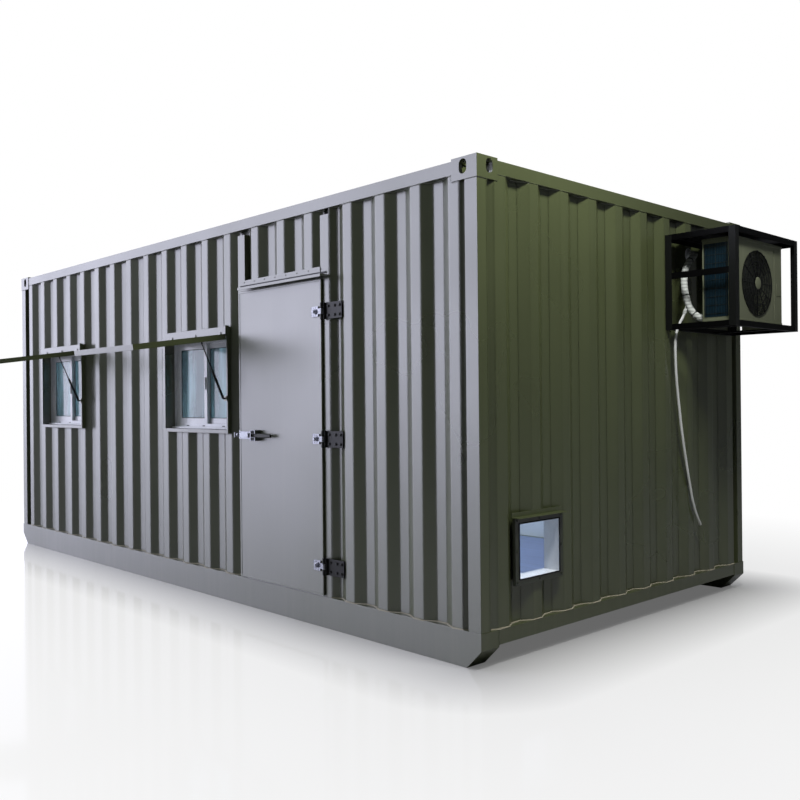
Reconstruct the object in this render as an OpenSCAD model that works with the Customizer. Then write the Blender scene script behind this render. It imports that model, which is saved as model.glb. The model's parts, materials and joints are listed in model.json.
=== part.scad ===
// Container cabin on two skids: a corrugated steel shell on a welded frame, lined inside,
// with a hinged door, two windows under top-hung shutters, a cable port and a caged cooling unit.
// Millimetres, +Z up. The origin is the middle of the foot of the door-side skid, so the door
// side faces -Y and the end wall with the cooling unit faces +X.

/* [Cabin] */
// Length over the corner castings
body_l = 6058; // [5000:1:7300]
// Width over the corner castings
body_w = 2860; // [2380:1:3440]
// Height from the ground to the top of the castings
body_h = 2623; // [2560:1:3150]

/* [Base] */
// Width of each skid beam
skid_w = 140; // [110:1:170]
// Height of each skid beam
skid_h = 188; // [160:1:230]
// Length of the raked end of a skid, cut back at the foot
skid_rake = 100; // [60:1:140]
// Height left open under the end sills and joists
under_gap = 110; // [80:1:125]
// Thickness of the floor deck
deck_t = 28; // [18:1:32]
// Width of a floor joist
joist_w = 60; // [40:1:90]
// Nearest spacing of the floor joists
joist_pitch = 400; // [300:10:600]

/* [Frame] */
// Length of a corner casting along the long walls
cast_l = 178; // [150:1:210]
// Width of a corner casting along the end walls
cast_w = 162; // [140:1:195]
// Height of a corner casting
cast_h = 118; // [105:1:140]
// Wall thickness of a corner casting
cast_t = 24; // [16:1:26]
// Width of a slot in a casting
slot_w = 52; // [44:1:60]
// Height of a side slot in a casting
slot_h = 77; // [64:1:84]
// Distance from the cabin's end to the middle of a slot
slot_in = 97; // [84:1:102]
// Width of a corner post on the long walls
post_l = 85; // [70:1:100]
// Width of a corner post on the end walls
post_w = 72; // [60:1:86]
// Plate thickness of posts, rails and door frame
plate_t = 5; // [3:1:8]
// Height of the top rails
rail_h = 71; // [58:1:85]
// Depth of the top rails
rail_w = 60; // [50:1:72]
// Drop from the casting tops to the rail tops
rail_drop = 11; // [6:1:16]

/* [Walls] */
// Thickness of the corrugated sheet
skin_t = 2; // [1.5:0.5:4]
// Setback of the sheet and posts from the castings' faces
skin_set = 4; // [2:1:8]
// Depth of the wall corrugations
corr_d = 36; // [28:1:44]
// Nearest pitch of the long walls' corrugations
side_pitch = 291; // [240:1:340]
// Width of an outer flat on the long walls
side_flat = 75; // [60:1:90]
// Run of a slope on the long walls
side_slope = 70; // [55:1:76]
// Nearest pitch of the end walls' corrugations
end_pitch = 277; // [240:1:330]
// Width of an outer flat on the end walls
end_flat = 72; // [60:1:84]
// Width of the first and last flats on the end walls
end_edge_flat = 87; // [70:1:104]
// Run of a slope on the end walls
end_slope = 66; // [55:1:72]
// Thickness of the insulated inner panels
lining_t = 50; // [40:1:60]

/* [Roof] */
// Depth of the roof corrugations
roof_d = 20; // [14:1:26]
// Nearest pitch of the roof corrugations
roof_pitch = 209; // [180:1:250]
// Width of an outer flat on the roof
roof_flat = 91; // [75:1:100]
// Run of a slope on the roof
roof_slope = 14; // [10:1:20]
// Drop from the casting tops to the roof sheet
roof_drop = 19; // [12:1:24]

/* [Door] */
// From the cabin's mid-length to the left side of the door frame
door_x = 850; // [700:1:1020]
// Width over the door frame's posts
door_w = 980; // [820:1:1100]
// Width of a door post
jamb_w = 80; // [66:1:90]
// Height of the door leaf above the skid tops
door_h = 1922; // [1820:1:1940]
// Height of the header beam over the doorway
header_h = 80; // [66:1:96]
// Thickness of the leaf's outer flange
flange_t = 9; // [8:1:16]
// How far the leaf laps past the doorway on the latch side
lap_latch = 53; // [44:1:58]
// How far the leaf laps past the doorway on the hinge side
lap_hinge = 21; // [18:1:30]
// Thickness of the leaf's body inside the doorway
leaf_body_t = 46; // [36:1:56]
// Clearance of the leaf's body in the doorway
leaf_gap = 10; // [8:1:14]
// Gap between the flange and the door frame, filled by the seal
seal_gap = 5; // [5:1:6]
// Depth of the rain hood over the door
hood_d = 60; // [50:1:72]

/* [Hinges and latch] */
// Radius of a hinge barrel
barrel_r = 11; // [9:1:13]
// Radius of a hinge pin
pin_r = 6; // [5:0.5:7]
// Running clearance around a hinge pin
pin_gap = 0.3; // [0.2:0.1:0.5]
// Height of a hinge
hinge_h = 100; // [84:1:120]
// Length of a hinge strap on the wall
strap_l = 170; // [150:1:180]
// Height of the latch above the skid tops
latch_up = 965; // [840:1:1100]
// Length of the latch lever past its pivot
lever_l = 187; // [150:1:224]

/* [Windows] */
// Width of a window's steel surround
win_w = 878; // [760:1:1000]
// Height of a window's steel surround
win_h = 740; // [620:1:860]
// Height of the surround's foot above the skid tops
win_up = 969; // [820:1:1000]
// From the cabin's mid-length to the middle of the right window
win_right_x = 311; // [290:1:330]
// From the cabin's left end to the middle of the left window
win_left_in = 998; // [840:1:1300]
// How far the surround stands proud of the castings' face
win_proud = 25; // [18:1:32]
// Depth of the outer reveal in front of the glazing
win_reveal = 90; // [75:1:95]
// Face width of the white window frame
frame_w = 38; // [30:1:46]
// Face width of a sash
sash_w = 38; // [30:1:46]
// Thickness of a sash
sash_t = 20; // [16:1:20]
// Thickness of the glass
glass_t = 5; // [4:1:8]
// Reach of an open shutter from its hinge
shutter_l = 700; // [580:1:800]
// Thickness of a shutter
shutter_t = 38; // [30:1:45]
// Slope of the open shutter below level, in degrees
shutter_dip = 8; // [4:1:20]

/* [Cooling unit] */
// From the cabin's centre line to the near side of the cage
cage_off = 390; // [330:1:450]
// Width of the cage
cage_w = 890; // [840:1:980]
// Reach of the cage from the wall
cage_d = 474; // [450:1:560]
// Height of the cage
cage_h = 607; // [590:1:660]
// Height of the cage's foot above the ground
cage_z = 1813; // [1500:1:1850]
// Upright leg width of the cage's angle bars
angle_v = 45; // [36:1:50]
// Level leg width of the cage's angle bars
angle_h = 30; // [24:1:32]
// Plate thickness of the cage
angle_t = 4; // [3:1:6]
// Width of the cooling unit
unit_w = 658; // [600:1:700]
// Depth of the cooling unit
unit_d = 215; // [200:1:240]
// Height of the cooling unit
unit_h = 520; // [500:1:540]
// Radius of the fan opening
fan_r = 205; // [170:1:215]
// Outer diameter of the insulated pipe pair
pipe_d = 46; // [36:1:50]

/* [Cable port] */
// From the cabin's centre line to the middle of the port
port_off = 965; // [900:1:1000]
// Clear width of the port
port_w = 350; // [280:1:400]
// Clear height of the port
port_h = 295; // [240:1:350]
// Height of the port above the skid tops
port_up = 237; // [200:1:300]
// Face width of the port's frame
port_rim = 30; // [20:1:40]

/* [Hidden] */
fine = 48;

// Main planes
half_l = body_l / 2;
front_y = -skid_w / 2;
back_y = front_y + body_w;
mid_y = (front_y + back_y) / 2;
wall_y = front_y + skin_set;
wall_x = half_l - skin_set;
inner_set = corr_d + skin_t;
lining_y = wall_y + inner_set;
room_y = lining_y + lining_t;
lining_x = wall_x - inner_set;
room_x = lining_x - lining_t;
cast_z = body_h - cast_h;
rail_top = body_h - rail_drop;
rail_z = rail_top - rail_h;
wall_h = rail_z - skid_h;
lining_h = cast_z - skid_h;
post_x = half_l - skin_set - post_l;
post_y = wall_y + post_w;

// Corrugated strips: margins at each end, as [inner margin, slope]
post_edge = [9, 30];
end_post_edge = [12, 50];
left_post_edge = [26, 70];
jamb_edge = [12, 70];
latch_jamb_edge = [29, 70];
hinge_lead = 46;
hinge_jamb_edge = [21, 70];
end_sheet_l = body_w - 2 * (skin_set + post_w);

// Roof and ceiling, between the rails and clear of the castings
cast_y = front_y + cast_w;
roof_x = half_l - cast_l;
roof_end_x = wall_x + 1 - rail_w;
roof_y = wall_y + rail_w;
roof_top = body_h - roof_drop;
ceiling_top = roof_top - roof_d - skin_t;
end_plate_t = 4;
panel_joint = 0.5;

// Doorway
jamb_d = inner_set + lining_t;
way_x0 = door_x + jamb_w;
way_x1 = door_x + door_w - jamb_w;
leaf_z = skid_h + 8;
leaf_top = leaf_z + door_h;
way_top = leaf_top - 50;
header_top = way_top + header_h;
leaf_x0 = way_x0 - lap_latch;
leaf_x1 = way_x1 + lap_hinge;
flange_y = wall_y - seal_gap;
leaf_front = flange_y - flange_t;
hood_z = leaf_top + 5;
hood_lip = 17;
hood_flange_z = hood_z + 37;
hood_flange_h = 34;

// Hinges
hinge_x = leaf_x1 + barrel_r + 6;
hinge_y = leaf_front - 8;
hinge_zs = [leaf_z + 179, leaf_z + 949, leaf_z + 1724];
arm_h = 34;
arm_l = 62;
arm_t = 9;

// Latch
latch_z = skid_h + latch_up;
latch_x = leaf_x0 + 48;
latch_l = 135;
latch_h = 50;
latch_d = 36;
cheek_l = 57;
cheek_h = 71;
lever_x = latch_x + latch_l + 28;
lever_y = leaf_front - 30;
lever_h = 22;
lever_t = 12;
lever_hub_r = 10;
lever_pin_r = 4;
keeper_r = 11;
keeper_x = door_x + keeper_r;
keeper_y = leaf_front - 24;

// Windows
win_z = skid_h + win_up;
win_xs = [win_left_in - half_l, win_right_x];
win_y = front_y - win_proud;
win_side = 14;
win_top_bar = 52;
win_foot_bar = 25;
glaze_y = win_y + win_reveal;
glaze_w = win_w - 2 * win_side;
glaze_h = win_h - win_top_bar - win_foot_bar;
glaze_z = win_z + win_foot_bar;
frame_d = 50;
sash_gap = 0.5;
sash_track = 4;
open_w = glaze_w - 2 * frame_w;
open_h = glaze_h - 2 * frame_w;
sash_lap = 20;
sash_l = open_w / 2 + sash_lap;
shutter_bar_r = 8;
shutter_y = win_y - 5;
shutter_z = win_z + win_h - win_top_bar - 8;
shutter_start = shutter_bar_r + 0.3;
strut_r = 9;
strut_rod_r = 4;
strut_up = 243;
strut_reach = 185;
strut_foot_w = 36;
strut_foot_t = 6;
strut_stub = 14;

// Cooling unit
cage_x = wall_x;
cage_y = mid_y + cage_off;
weld_gap = 0.5;
rail_bar_h = 10;
rail_bar_w = 40;
unit_x = cage_x + cage_d - 39 - unit_d;
unit_y = cage_y + 70;
foot_h = 23;
unit_z = cage_z + angle_t + rail_bar_h + foot_h;
foot_inset = 60;
foot_w = 50;
fan_y = unit_y + 297;
fan_z = unit_z + 250;
well_d = 120;
well_x = unit_x + unit_d - well_d;
motor_r = 45;
motor_l = 34;
shaft_r = 8;
hub_r = 44;
hub_l = 42;
blade_gap = 10;
blade_t = 4;
blade_l = 46;
blade_tilt = 32;
blades = 4;
grille_t = 6;
grille_ring = 4;
grille_rings = 5;
grille_bars = 6;
grille_cap_r = 42;
mid_bar_z = cage_z + 323;
mid_bar_h = 40;
hose_d = 18;
collar_d = 26;

// Cable port
port_y = mid_y - port_off;
port_z = skid_h + port_up;
port_proud = 20;
port_t = 4;

// Route of the pipe pair, from where it leaves the wall: round behind the unit and into its back
pipe_foot = [wall_x, mid_y + 691, cage_z + 517];
pipe_bends = [
    [0, 0, 0], [25, 0, 0], [47, -11, -6], [57, -41, -22], [56, -83, -54], [55, -125, -96],
    [59, -159, -146], [67, -181, -204], [77, -190, -264], [91, -191, -324], [111, -189, -378],
    [139, -184, -418], [170, -178, -440]
];
pipe_route = concat(
    [for (b = pipe_bends) pipe_foot + b],
    [for (x = [unit_x - 18, unit_x]) [x, pipe_foot.y - 174, pipe_foot.z - 446]]);
// Sleeve where the hose leaves the pipe pair
collar_route = [for (b = [[95, -191, -361], [79, -203, -409]]) pipe_foot + b];
// Route of the drain hose, hanging free beside the wall
hose_route = [
    [3104, 1848, 1921], [3096, 1842, 1897], [3081, 1822, 1852], [3072, 1807, 1808],
    [3067, 1800, 1760], [3063, 1801, 1710], [3060, 1806, 1660], [3057, 1813, 1610],
    [3054, 1821, 1560], [3052, 1830, 1510], [3050, 1840, 1460], [3049, 1850, 1410],
    [3048, 1860, 1360], [3047, 1871, 1310], [3046, 1882, 1260], [3045, 1893, 1210],
    [3045, 1904, 1160], [3045, 1916, 1110], [3045, 1928, 1060], [3045, 1941, 1010],
    [3045, 1955, 960], [3045, 1969, 910], [3045, 1984, 860], [3045, 1999, 810],
    [3045, 2014, 760], [3045, 2029, 710], [3045, 2048, 665], [3045, 2070, 620],
    [3045, 2098, 575], [3045, 2138, 521]
];

// Colours
paint = [0.27, 0.30, 0.20];
paint_dark = [0.17, 0.19, 0.13];
black = [0.07, 0.08, 0.07];
chrome = [0.80, 0.81, 0.83];
white = [0.90, 0.91, 0.91];
glass = [0.45, 0.60, 0.62];

// ---- Shared shapes ----

// Box between two corners
module slab(a, b) translate(a) cube(b - a);

// Box tube open along Z
module tube_z(a, b, t) difference() {
    slab(a, b);
    slab(a + [t, t, -1], b + [-t, -t, 1]);
}

// Round bar from p to q
module bar(p, q, r) {
    d = q - p;
    translate(p) rotate([0, acos(d.z / norm(d)), atan2(d.y, d.x)])
        cylinder(h = norm(d), r = r, $fn = fine);
}

// Slot outline with round ends, along Y
module slot_2d(w, h) {
    square([w, h - w], center = true);
    for (s = [-1, 1]) translate([0, s * (h - w) / 2]) circle(d = w, $fn = fine);
}

// Outline points of one corrugated strip: outer line at d = 0, recesses at d = depth
function recess_w(len, n, e0, e1, lead, flat, edge_flat) =
    (len - lead - e0[0] - e0[1] - 2 * edge_flat - (n - 2) * flat - e1[1] - e1[0]) / (n - 1);
function flats(len, e0, e1, lead, flat, edge_flat, pitch) =
    max(2, 1 + round((len - lead - e0[0] - e0[1] - 2 * edge_flat - e1[1] - e1[0] + flat) / pitch));
function strip(len, depth, slope, flat, edge_flat, pitch, e0, e1, lead = 0) =
    let (n = flats(len, e0, e1, lead, flat, edge_flat, pitch),
         w = recess_w(len, n, e0, e1, lead, flat, edge_flat),
         u0 = lead + e0[0] + e0[1])
    concat(
        lead > 0 ? [[0, 0], [lead, depth]] : [[0, depth]],
        [[lead + e0[0], depth]],
        [for (i = [0 : n - 1])
            let (a = u0 + (i == 0 ? 0 : edge_flat + (i - 1) * flat + i * w),
                 f = (i == 0 || i == n - 1) ? edge_flat : flat)
            each [
                [a, 0], [a + f, 0],
                if (i < n - 1) [a + f + slope, depth],
                if (i < n - 1) [a + f + w - slope, depth]
            ]],
        [[len - e1[0], depth], [len, depth]]);

// Sheet of even thickness that follows a strip, standing along Z
module sheet(pts, h, t) linear_extrude(h)
    polygon(concat(pts, [for (i = [len(pts) - 1 : -1 : 0]) pts[i] + [0, t]]));

module side_sheet(len, e0, e1, lead = 0, h = wall_h)
    sheet(strip(len, corr_d, side_slope, side_flat, side_flat, side_pitch, e0, e1, lead), h, skin_t);

module end_sheet()
    sheet(strip(end_sheet_l, corr_d, end_slope, end_flat, end_edge_flat, end_pitch,
        end_post_edge, end_post_edge), wall_h, skin_t);

// Tube swept through a route: rings square to the path, turned by a direction it never takes
function unit(v) = v / norm(v);
function path_dir(r, i) = unit(r[min(i + 1, len(r) - 1)] - r[max(i - 1, 0)]);
function ring(c, dir, rad, sides, aside) =
    let (a = unit(cross(dir, aside)), b = cross(dir, a))
    [for (k = [0 : sides - 1])
        c + rad * (cos(360 * k / sides) * a + sin(360 * k / sides) * b)];
module swept(route, d, sides = 12, aside = [0.3, 1, -1]) {
    n = len(route);
    points = [for (i = [0 : n - 1]) each ring(route[i], path_dir(route, i), d / 2, sides, aside)];
    walls = [for (i = [0 : n - 2], k = [0 : sides - 1])
        let (m = (k + 1) % sides)
        each [[i * sides + k, (i + 1) * sides + m, i * sides + m],
              [i * sides + k, (i + 1) * sides + k, (i + 1) * sides + m]]];
    first = [for (k = [0 : sides - 1]) k];
    last = [for (k = [sides - 1 : -1 : 0]) (n - 1) * sides + k];
    polyhedron(points, concat([first], walls, [last]));
}

// Places something at all four corners of the cabin, mirrored so that it is drawn for -X, front
module at_corners() for (mx = [0, 1], my = [0, 1])
    mirror([mx, 0, 0]) translate([0, my * 2 * mid_y, 0]) mirror([0, my, 0]) children();

// ---- Base ----

module skid(y) translate([0, y + skid_w, 0]) rotate([90, 0, 0]) linear_extrude(skid_w)
    polygon([
        [-half_l + skid_rake, 0], [half_l - skid_rake, 0], [half_l, skid_rake],
        [half_l, skid_h], [-half_l, skid_h], [-half_l, skid_rake]
    ]);

module skid_front() color(paint) skid(front_y);

module skid_back() color(paint) skid(back_y - skid_w);

module end_sills() color(paint) for (m = [0, 1]) mirror([m, 0, 0])
    slab([half_l - skid_w, front_y + skid_w, under_gap], [half_l, back_y - skid_w, skid_h]);

module floor_joists() color(paint_dark) {
    run = body_l - 2 * skid_w;
    n = floor(run / joist_pitch);
    for (i = [1 : n - 1]) {
        x = -run / 2 + i * run / n;
        slab([x - joist_w / 2, front_y + skid_w, under_gap],
             [x + joist_w / 2, back_y - skid_w, skid_h - deck_t]);
    }
}

module floor_deck() color([0.45, 0.43, 0.40])
    slab([-half_l + skid_w, front_y + skid_w, skid_h - deck_t],
         [half_l - skid_w, back_y - skid_w, skid_h]);

// ---- Frame ----

module corner_posts() color(paint) at_corners()
    tube_z([-wall_x, wall_y, skid_h], [-wall_x + post_l, post_y, cast_z], plate_t);

module casting() {
    x0 = -half_l;
    in_x = x0 + slot_in;
    in_y = front_y + slot_in;
    side_z = cast_z + cast_h / 2 + 9;
    difference() {
        slab([x0, front_y, cast_z], [x0 + cast_l, front_y + cast_w, body_h]);
        slab([x0 + cast_t, front_y + cast_t, cast_z + cast_t],
             [x0 + cast_l - cast_t, front_y + cast_w - cast_t, body_h - cast_t]);
        // Side slot
        translate([in_x, front_y + cast_t + 1, side_z]) rotate([90, 0, 0])
            linear_extrude(cast_t + 2) slot_2d(slot_w, slot_h);
        // End slot
        translate([x0 - 1, in_y, side_z]) rotate([90, 0, 90])
            linear_extrude(cast_t + 2) slot_2d(slot_w, slot_h);
        // Lifting slot in the top
        translate([x0 + cast_l / 2, front_y + cast_w / 2, body_h - cast_t - 1]) rotate([0, 0, 90])
            linear_extrude(cast_t + 2) slot_2d(slot_w + 8, slot_h + 40);
    }
}

module corner_castings() color(paint) at_corners() casting();

// Top rail: a box tube open at the castings
module rail(a, b) difference() {
    along_x = (b - a).x > (b - a).y;
    t = plate_t;
    slab(a, b);
    if (along_x) slab(a + [-1, t, t], b + [1, -t, -t]);
    else slab(a + [t, -1, t], b + [-t, 1, -t]);
}

module top_rails() color(paint) {
    for (my = [0, 1]) translate([0, my * 2 * mid_y, 0]) mirror([0, my, 0])
        rail([-half_l + cast_l, wall_y - 1, rail_z], [half_l - cast_l, wall_y + rail_w, rail_top]);
    for (mx = [0, 1]) mirror([mx, 0, 0])
        rail([wall_x + 1 - rail_w, front_y + cast_w, rail_z], [wall_x + 1, back_y - cast_w, rail_top]);
}

// ---- Outer skins ----

module window_holes(y0, y1) for (x = win_xs)
    slab([x - win_w / 2, y0, win_z], [x + win_w / 2, y1, win_z + win_h]);

module port_hole(x0, x1)
    slab([x0, port_y - port_w / 2 - port_t, port_z - port_t],
         [x1, port_y + port_w / 2 + port_t, port_z + port_h + port_t]);

// Room for the corner castings in what meets them
module corner_notches(z0, z1) at_corners()
    slab([-half_l - 1, front_y - 1, z0], [-half_l + cast_l, front_y + cast_w, z1]);

module front_skin_left() color(paint) difference() {
    translate([-post_x, wall_y, skid_h])
        side_sheet(door_x + post_x, left_post_edge, latch_jamb_edge);
    window_holes(wall_y - 1, lining_y + 1);
    corner_notches(cast_z, body_h);
}

module front_skin_right() color(paint) difference() {
    translate([door_x + door_w, wall_y, skid_h])
        side_sheet(post_x - door_x - door_w, hinge_jamb_edge, post_edge, hinge_lead);
    corner_notches(cast_z, body_h);
}

module front_skin_over_door() color(paint) translate([way_x0, wall_y, header_top])
    side_sheet(way_x1 - way_x0, jamb_edge, jamb_edge, h = rail_z - header_top);

module back_skin() color(paint) difference() {
    translate([post_x, back_y - skin_set, skid_h]) rotate([0, 0, 180])
        side_sheet(2 * post_x, post_edge, post_edge);
    corner_notches(cast_z, body_h);
}

module right_end_skin() color(paint) difference() {
    translate([wall_x, post_y, skid_h]) rotate([0, 0, 90]) end_sheet();
    port_hole(lining_x - 1, wall_x + 1);
    corner_notches(cast_z, body_h);
}

module left_end_skin() color(paint) difference() {
    translate([-wall_x, back_y - skin_set - post_w, skid_h]) rotate([0, 0, -90]) end_sheet();
    corner_notches(cast_z, body_h);
}

module roof_skin() color(paint)
    translate([-roof_x, 2 * mid_y - roof_y, roof_top]) rotate([90, 0, 0])
        mirror([0, 1, 0]) sheet(strip(2 * roof_x, roof_d, roof_slope, roof_flat, roof_flat, roof_pitch,
            [20, roof_slope], [20, roof_slope]), 2 * (mid_y - roof_y), skin_t);

// Flat plates between the castings at both ends of the roof
module roof_end_plates() color(paint) for (m = [0, 1]) mirror([m, 0, 0])
    slab([roof_x, cast_y, roof_top - end_plate_t], [roof_end_x, 2 * mid_y - cast_y, roof_top]);

// ---- Inner panels ----

module front_lining_left() color(white) difference() {
    slab([-post_x, lining_y, skid_h], [door_x, room_y, cast_z]);
    window_holes(lining_y - 1, room_y + 1);
}

module front_lining_right() color(white)
    slab([door_x + door_w, lining_y, skid_h], [post_x, room_y, cast_z]);

module front_lining_over_door() color(white)
    slab([way_x0, lining_y, header_top], [way_x1, room_y, cast_z]);

module back_lining() color(white)
    slab([-post_x, 2 * mid_y - room_y, skid_h], [post_x, 2 * mid_y - lining_y, cast_z]);

module end_lining() slab([room_x, room_y, skid_h], [lining_x, 2 * mid_y - room_y, cast_z]);

module right_end_lining() color(white) difference() {
    end_lining();
    port_hole(room_x - 1, lining_x + 1);
}

module left_end_lining() color(white) mirror([1, 0, 0]) end_lining();

// Ceiling in three panels: the two at the ends fit between the castings
module ceiling_panels() color(white) {
    slab([-roof_x, roof_y, cast_z], [roof_x, 2 * mid_y - roof_y, ceiling_top]);
    for (m = [0, 1]) mirror([m, 0, 0])
        slab([roof_x + panel_joint, cast_y, cast_z], [roof_end_x, 2 * mid_y - cast_y, ceiling_top]);
}

// ---- Door ----

module door_jambs() color(paint) for (x = [door_x, way_x1])
    tube_z([x, wall_y, skid_h], [x + jamb_w, wall_y + jamb_d, cast_z], plate_t);

module door_header() color(paint)
    slab([way_x0, wall_y, way_top], [way_x1, wall_y + jamb_d, header_top]);

module door_threshold() color([0.55, 0.56, 0.55])
    slab([way_x0, wall_y, skid_h], [way_x1, wall_y + jamb_d, skid_h + 4]);

module rain_hood() color(paint) {
    t = 3;
    x0 = way_x0;
    x1 = door_x + door_w - 8;
    // Flat flange on the wall
    slab([leaf_x0, wall_y - t, hood_z], [way_x1, wall_y, hood_flange_z + hood_flange_h]);
    // Shelf with a drip lip
    slab([x0, wall_y - hood_d, hood_z + hood_lip - t], [x1, wall_y, hood_z + hood_lip]);
    slab([x0, wall_y - hood_d, hood_z], [x1, wall_y - hood_d + t, hood_z + hood_lip]);
}

module door_leaf() color(paint) {
    slab([leaf_x0, leaf_front, leaf_z], [leaf_x1, flange_y, leaf_top]);
    slab([way_x0 + leaf_gap, flange_y, skid_h + 4 + leaf_gap],
         [way_x1 - leaf_gap, flange_y + leaf_body_t, way_top - leaf_gap]);
}

module hinge_straps() color(black) for (z = hinge_zs) {
    knuckle = (hinge_h - arm_h) / 2;
    strap_x = hinge_x + barrel_r;
    translate([hinge_x, hinge_y, z - hinge_h / 2]) {
        cylinder(h = knuckle - 1, r = barrel_r, $fn = fine);
        translate([0, 0, hinge_h - knuckle + 1]) cylinder(h = knuckle - 1, r = barrel_r, $fn = fine);
        cylinder(h = hinge_h, r = pin_r, $fn = fine);
    }
    // Web from the barrel to the strap, cut round the moving knuckle
    difference() {
        slab([hinge_x, hinge_y, z - hinge_h / 2], [strap_x + 8, wall_y - 8, z + hinge_h / 2]);
        translate([hinge_x, hinge_y, z - arm_h / 2 - 1])
            cylinder(h = arm_h + 2, r = barrel_r + 5, $fn = fine);
    }
    slab([strap_x - 6, wall_y - 8, z - hinge_h / 2], [strap_x + strap_l - 11, wall_y, z + hinge_h / 2]);
}

module hinge_arms() color(chrome) for (z = hinge_zs) difference() {
    union() {
        translate([hinge_x, hinge_y, z - arm_h / 2]) cylinder(h = arm_h, r = barrel_r, $fn = fine);
        slab([leaf_x1 - 20, leaf_front - arm_t, z - arm_h / 2], [hinge_x, leaf_front - 1, z + arm_h / 2]);
        slab([leaf_x1 - 20 - arm_l, leaf_front - arm_t, z - arm_l / 2],
             [leaf_x1 - 20, leaf_front, z + arm_l / 2]);
    }
    translate([hinge_x, hinge_y, z - arm_h / 2 - 1])
        cylinder(h = arm_h + 2, r = pin_r + pin_gap, $fn = fine);
}

module latch_body() color(chrome) {
    // Case and tongue
    slab([latch_x, leaf_front - latch_d, latch_z - latch_h / 2],
         [latch_x + latch_l, leaf_front, latch_z + latch_h / 2]);
    slab([leaf_x0 + 1, leaf_front - 30, latch_z - 11], [latch_x, leaf_front - 14, latch_z + 11]);
    // Cheeks above and below the lever, with its pin
    difference() {
        slab([latch_x + latch_l, leaf_front - 44, latch_z - cheek_h / 2],
             [latch_x + latch_l + cheek_l, leaf_front, latch_z + cheek_h / 2]);
        slab([latch_x + latch_l + 8, leaf_front - 45, latch_z - lever_h / 2 - 1],
             [latch_x + latch_l + cheek_l + 1, leaf_front - 4, latch_z + lever_h / 2 + 1]);
    }
    translate([lever_x, lever_y, latch_z - cheek_h / 2])
        cylinder(h = cheek_h, r = lever_pin_r, $fn = fine);
}

module latch_lever() color(black) difference() {
    union() {
        translate([lever_x, lever_y, latch_z - lever_h / 2])
            cylinder(h = lever_h, r = lever_hub_r, $fn = fine);
        slab([lever_x, lever_y - lever_t / 2, latch_z - lever_h / 2],
             [lever_x + lever_l - lever_h / 2, lever_y + lever_t / 2, latch_z + lever_h / 2]);
        translate([lever_x + lever_l - lever_h / 2, lever_y + lever_t / 2, latch_z])
            rotate([90, 0, 0]) cylinder(h = lever_t, r = lever_h / 2, $fn = fine);
    }
    translate([lever_x, lever_y, latch_z - lever_h]) cylinder(h = 2 * lever_h, r = lever_pin_r + pin_gap, $fn = fine);
}

module latch_keeper() color(chrome) {
    plate = 4;
    slab([door_x, wall_y - plate, latch_z - 30], [door_x + 21, wall_y, latch_z + 30]);
    slab([door_x, keeper_y, latch_z - 13], [door_x + 14, wall_y, latch_z + 13]);
    translate([keeper_x, keeper_y, latch_z - 18]) cylinder(h = 36, r = keeper_r, $fn = fine);
}

// ---- Windows ----

module window_surrounds() color(paint) for (x = win_xs) {
    difference() {
        slab([x - win_w / 2, win_y, win_z], [x + win_w / 2, room_y, win_z + win_h]);
        slab([x - glaze_w / 2, win_y - 1, glaze_z], [x + glaze_w / 2, room_y + 1, glaze_z + glaze_h]);
    }
    translate([x - win_w / 2, shutter_y, shutter_z]) rotate([0, 90, 0])
        cylinder(h = win_w, r = shutter_bar_r, $fn = fine);
    // Foot of the gas strut
    slab([x + win_w / 2 - strut_foot_w, win_y - strut_foot_t, win_z + strut_up - 18],
         [x + win_w / 2, win_y, win_z + strut_up + 18]);
}

module window_frames() color(white) for (x = win_xs) difference() {
    slab([x - glaze_w / 2, glaze_y, glaze_z], [x + glaze_w / 2, glaze_y + frame_d, glaze_z + glaze_h]);
    slab([x - open_w / 2, glaze_y - 1, glaze_z + frame_w],
         [x + open_w / 2, glaze_y + frame_d + 1, glaze_z + frame_w + open_h]);
}

// Corner of a sash: the left one runs in the outer track
function sash_at(x, side) = [
    side == 0 ? x - open_w / 2 + sash_gap : x + open_w / 2 - sash_gap - sash_l,
    glaze_y + sash_track - 1 + side * (sash_t + sash_track),
    glaze_z + frame_w
];

module window_sashes() color(white) for (x = win_xs, side = [0, 1]) translate(sash_at(x, side))
    difference() {
        cube([sash_l, sash_t, open_h - sash_gap]);
        translate([sash_w, -1, sash_w])
            cube([sash_l - 2 * sash_w, sash_t + 2, open_h - sash_gap - 2 * sash_w]);
    }

module window_panes() color(glass) for (x = win_xs, side = [0, 1]) translate(sash_at(x, side))
    translate([sash_w, (sash_t - glass_t) / 2, sash_w])
        cube([sash_l - 2 * sash_w, glass_t, open_h - sash_gap - 2 * sash_w]);

// Shutter hung on its bar: it swings out and up, and rests a little below level
module shutter(x) translate([x - win_w / 2, shutter_y, shutter_z]) rotate([shutter_dip, 0, 0])
    slab([0, -shutter_l, shutter_bar_r - shutter_t], [win_w, -shutter_start, shutter_bar_r]);

module shutter_left() color(paint) shutter(win_xs[0]);

module shutter_right() color(paint) shutter(win_xs[1]);

// Point under an open shutter, at a distance out from its hinge
function under_shutter(s, gap) = [
    -s * cos(shutter_dip) + (shutter_t - shutter_bar_r + gap) * sin(shutter_dip),
    -s * sin(shutter_dip) - (shutter_t - shutter_bar_r + gap) * cos(shutter_dip)
];

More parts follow.
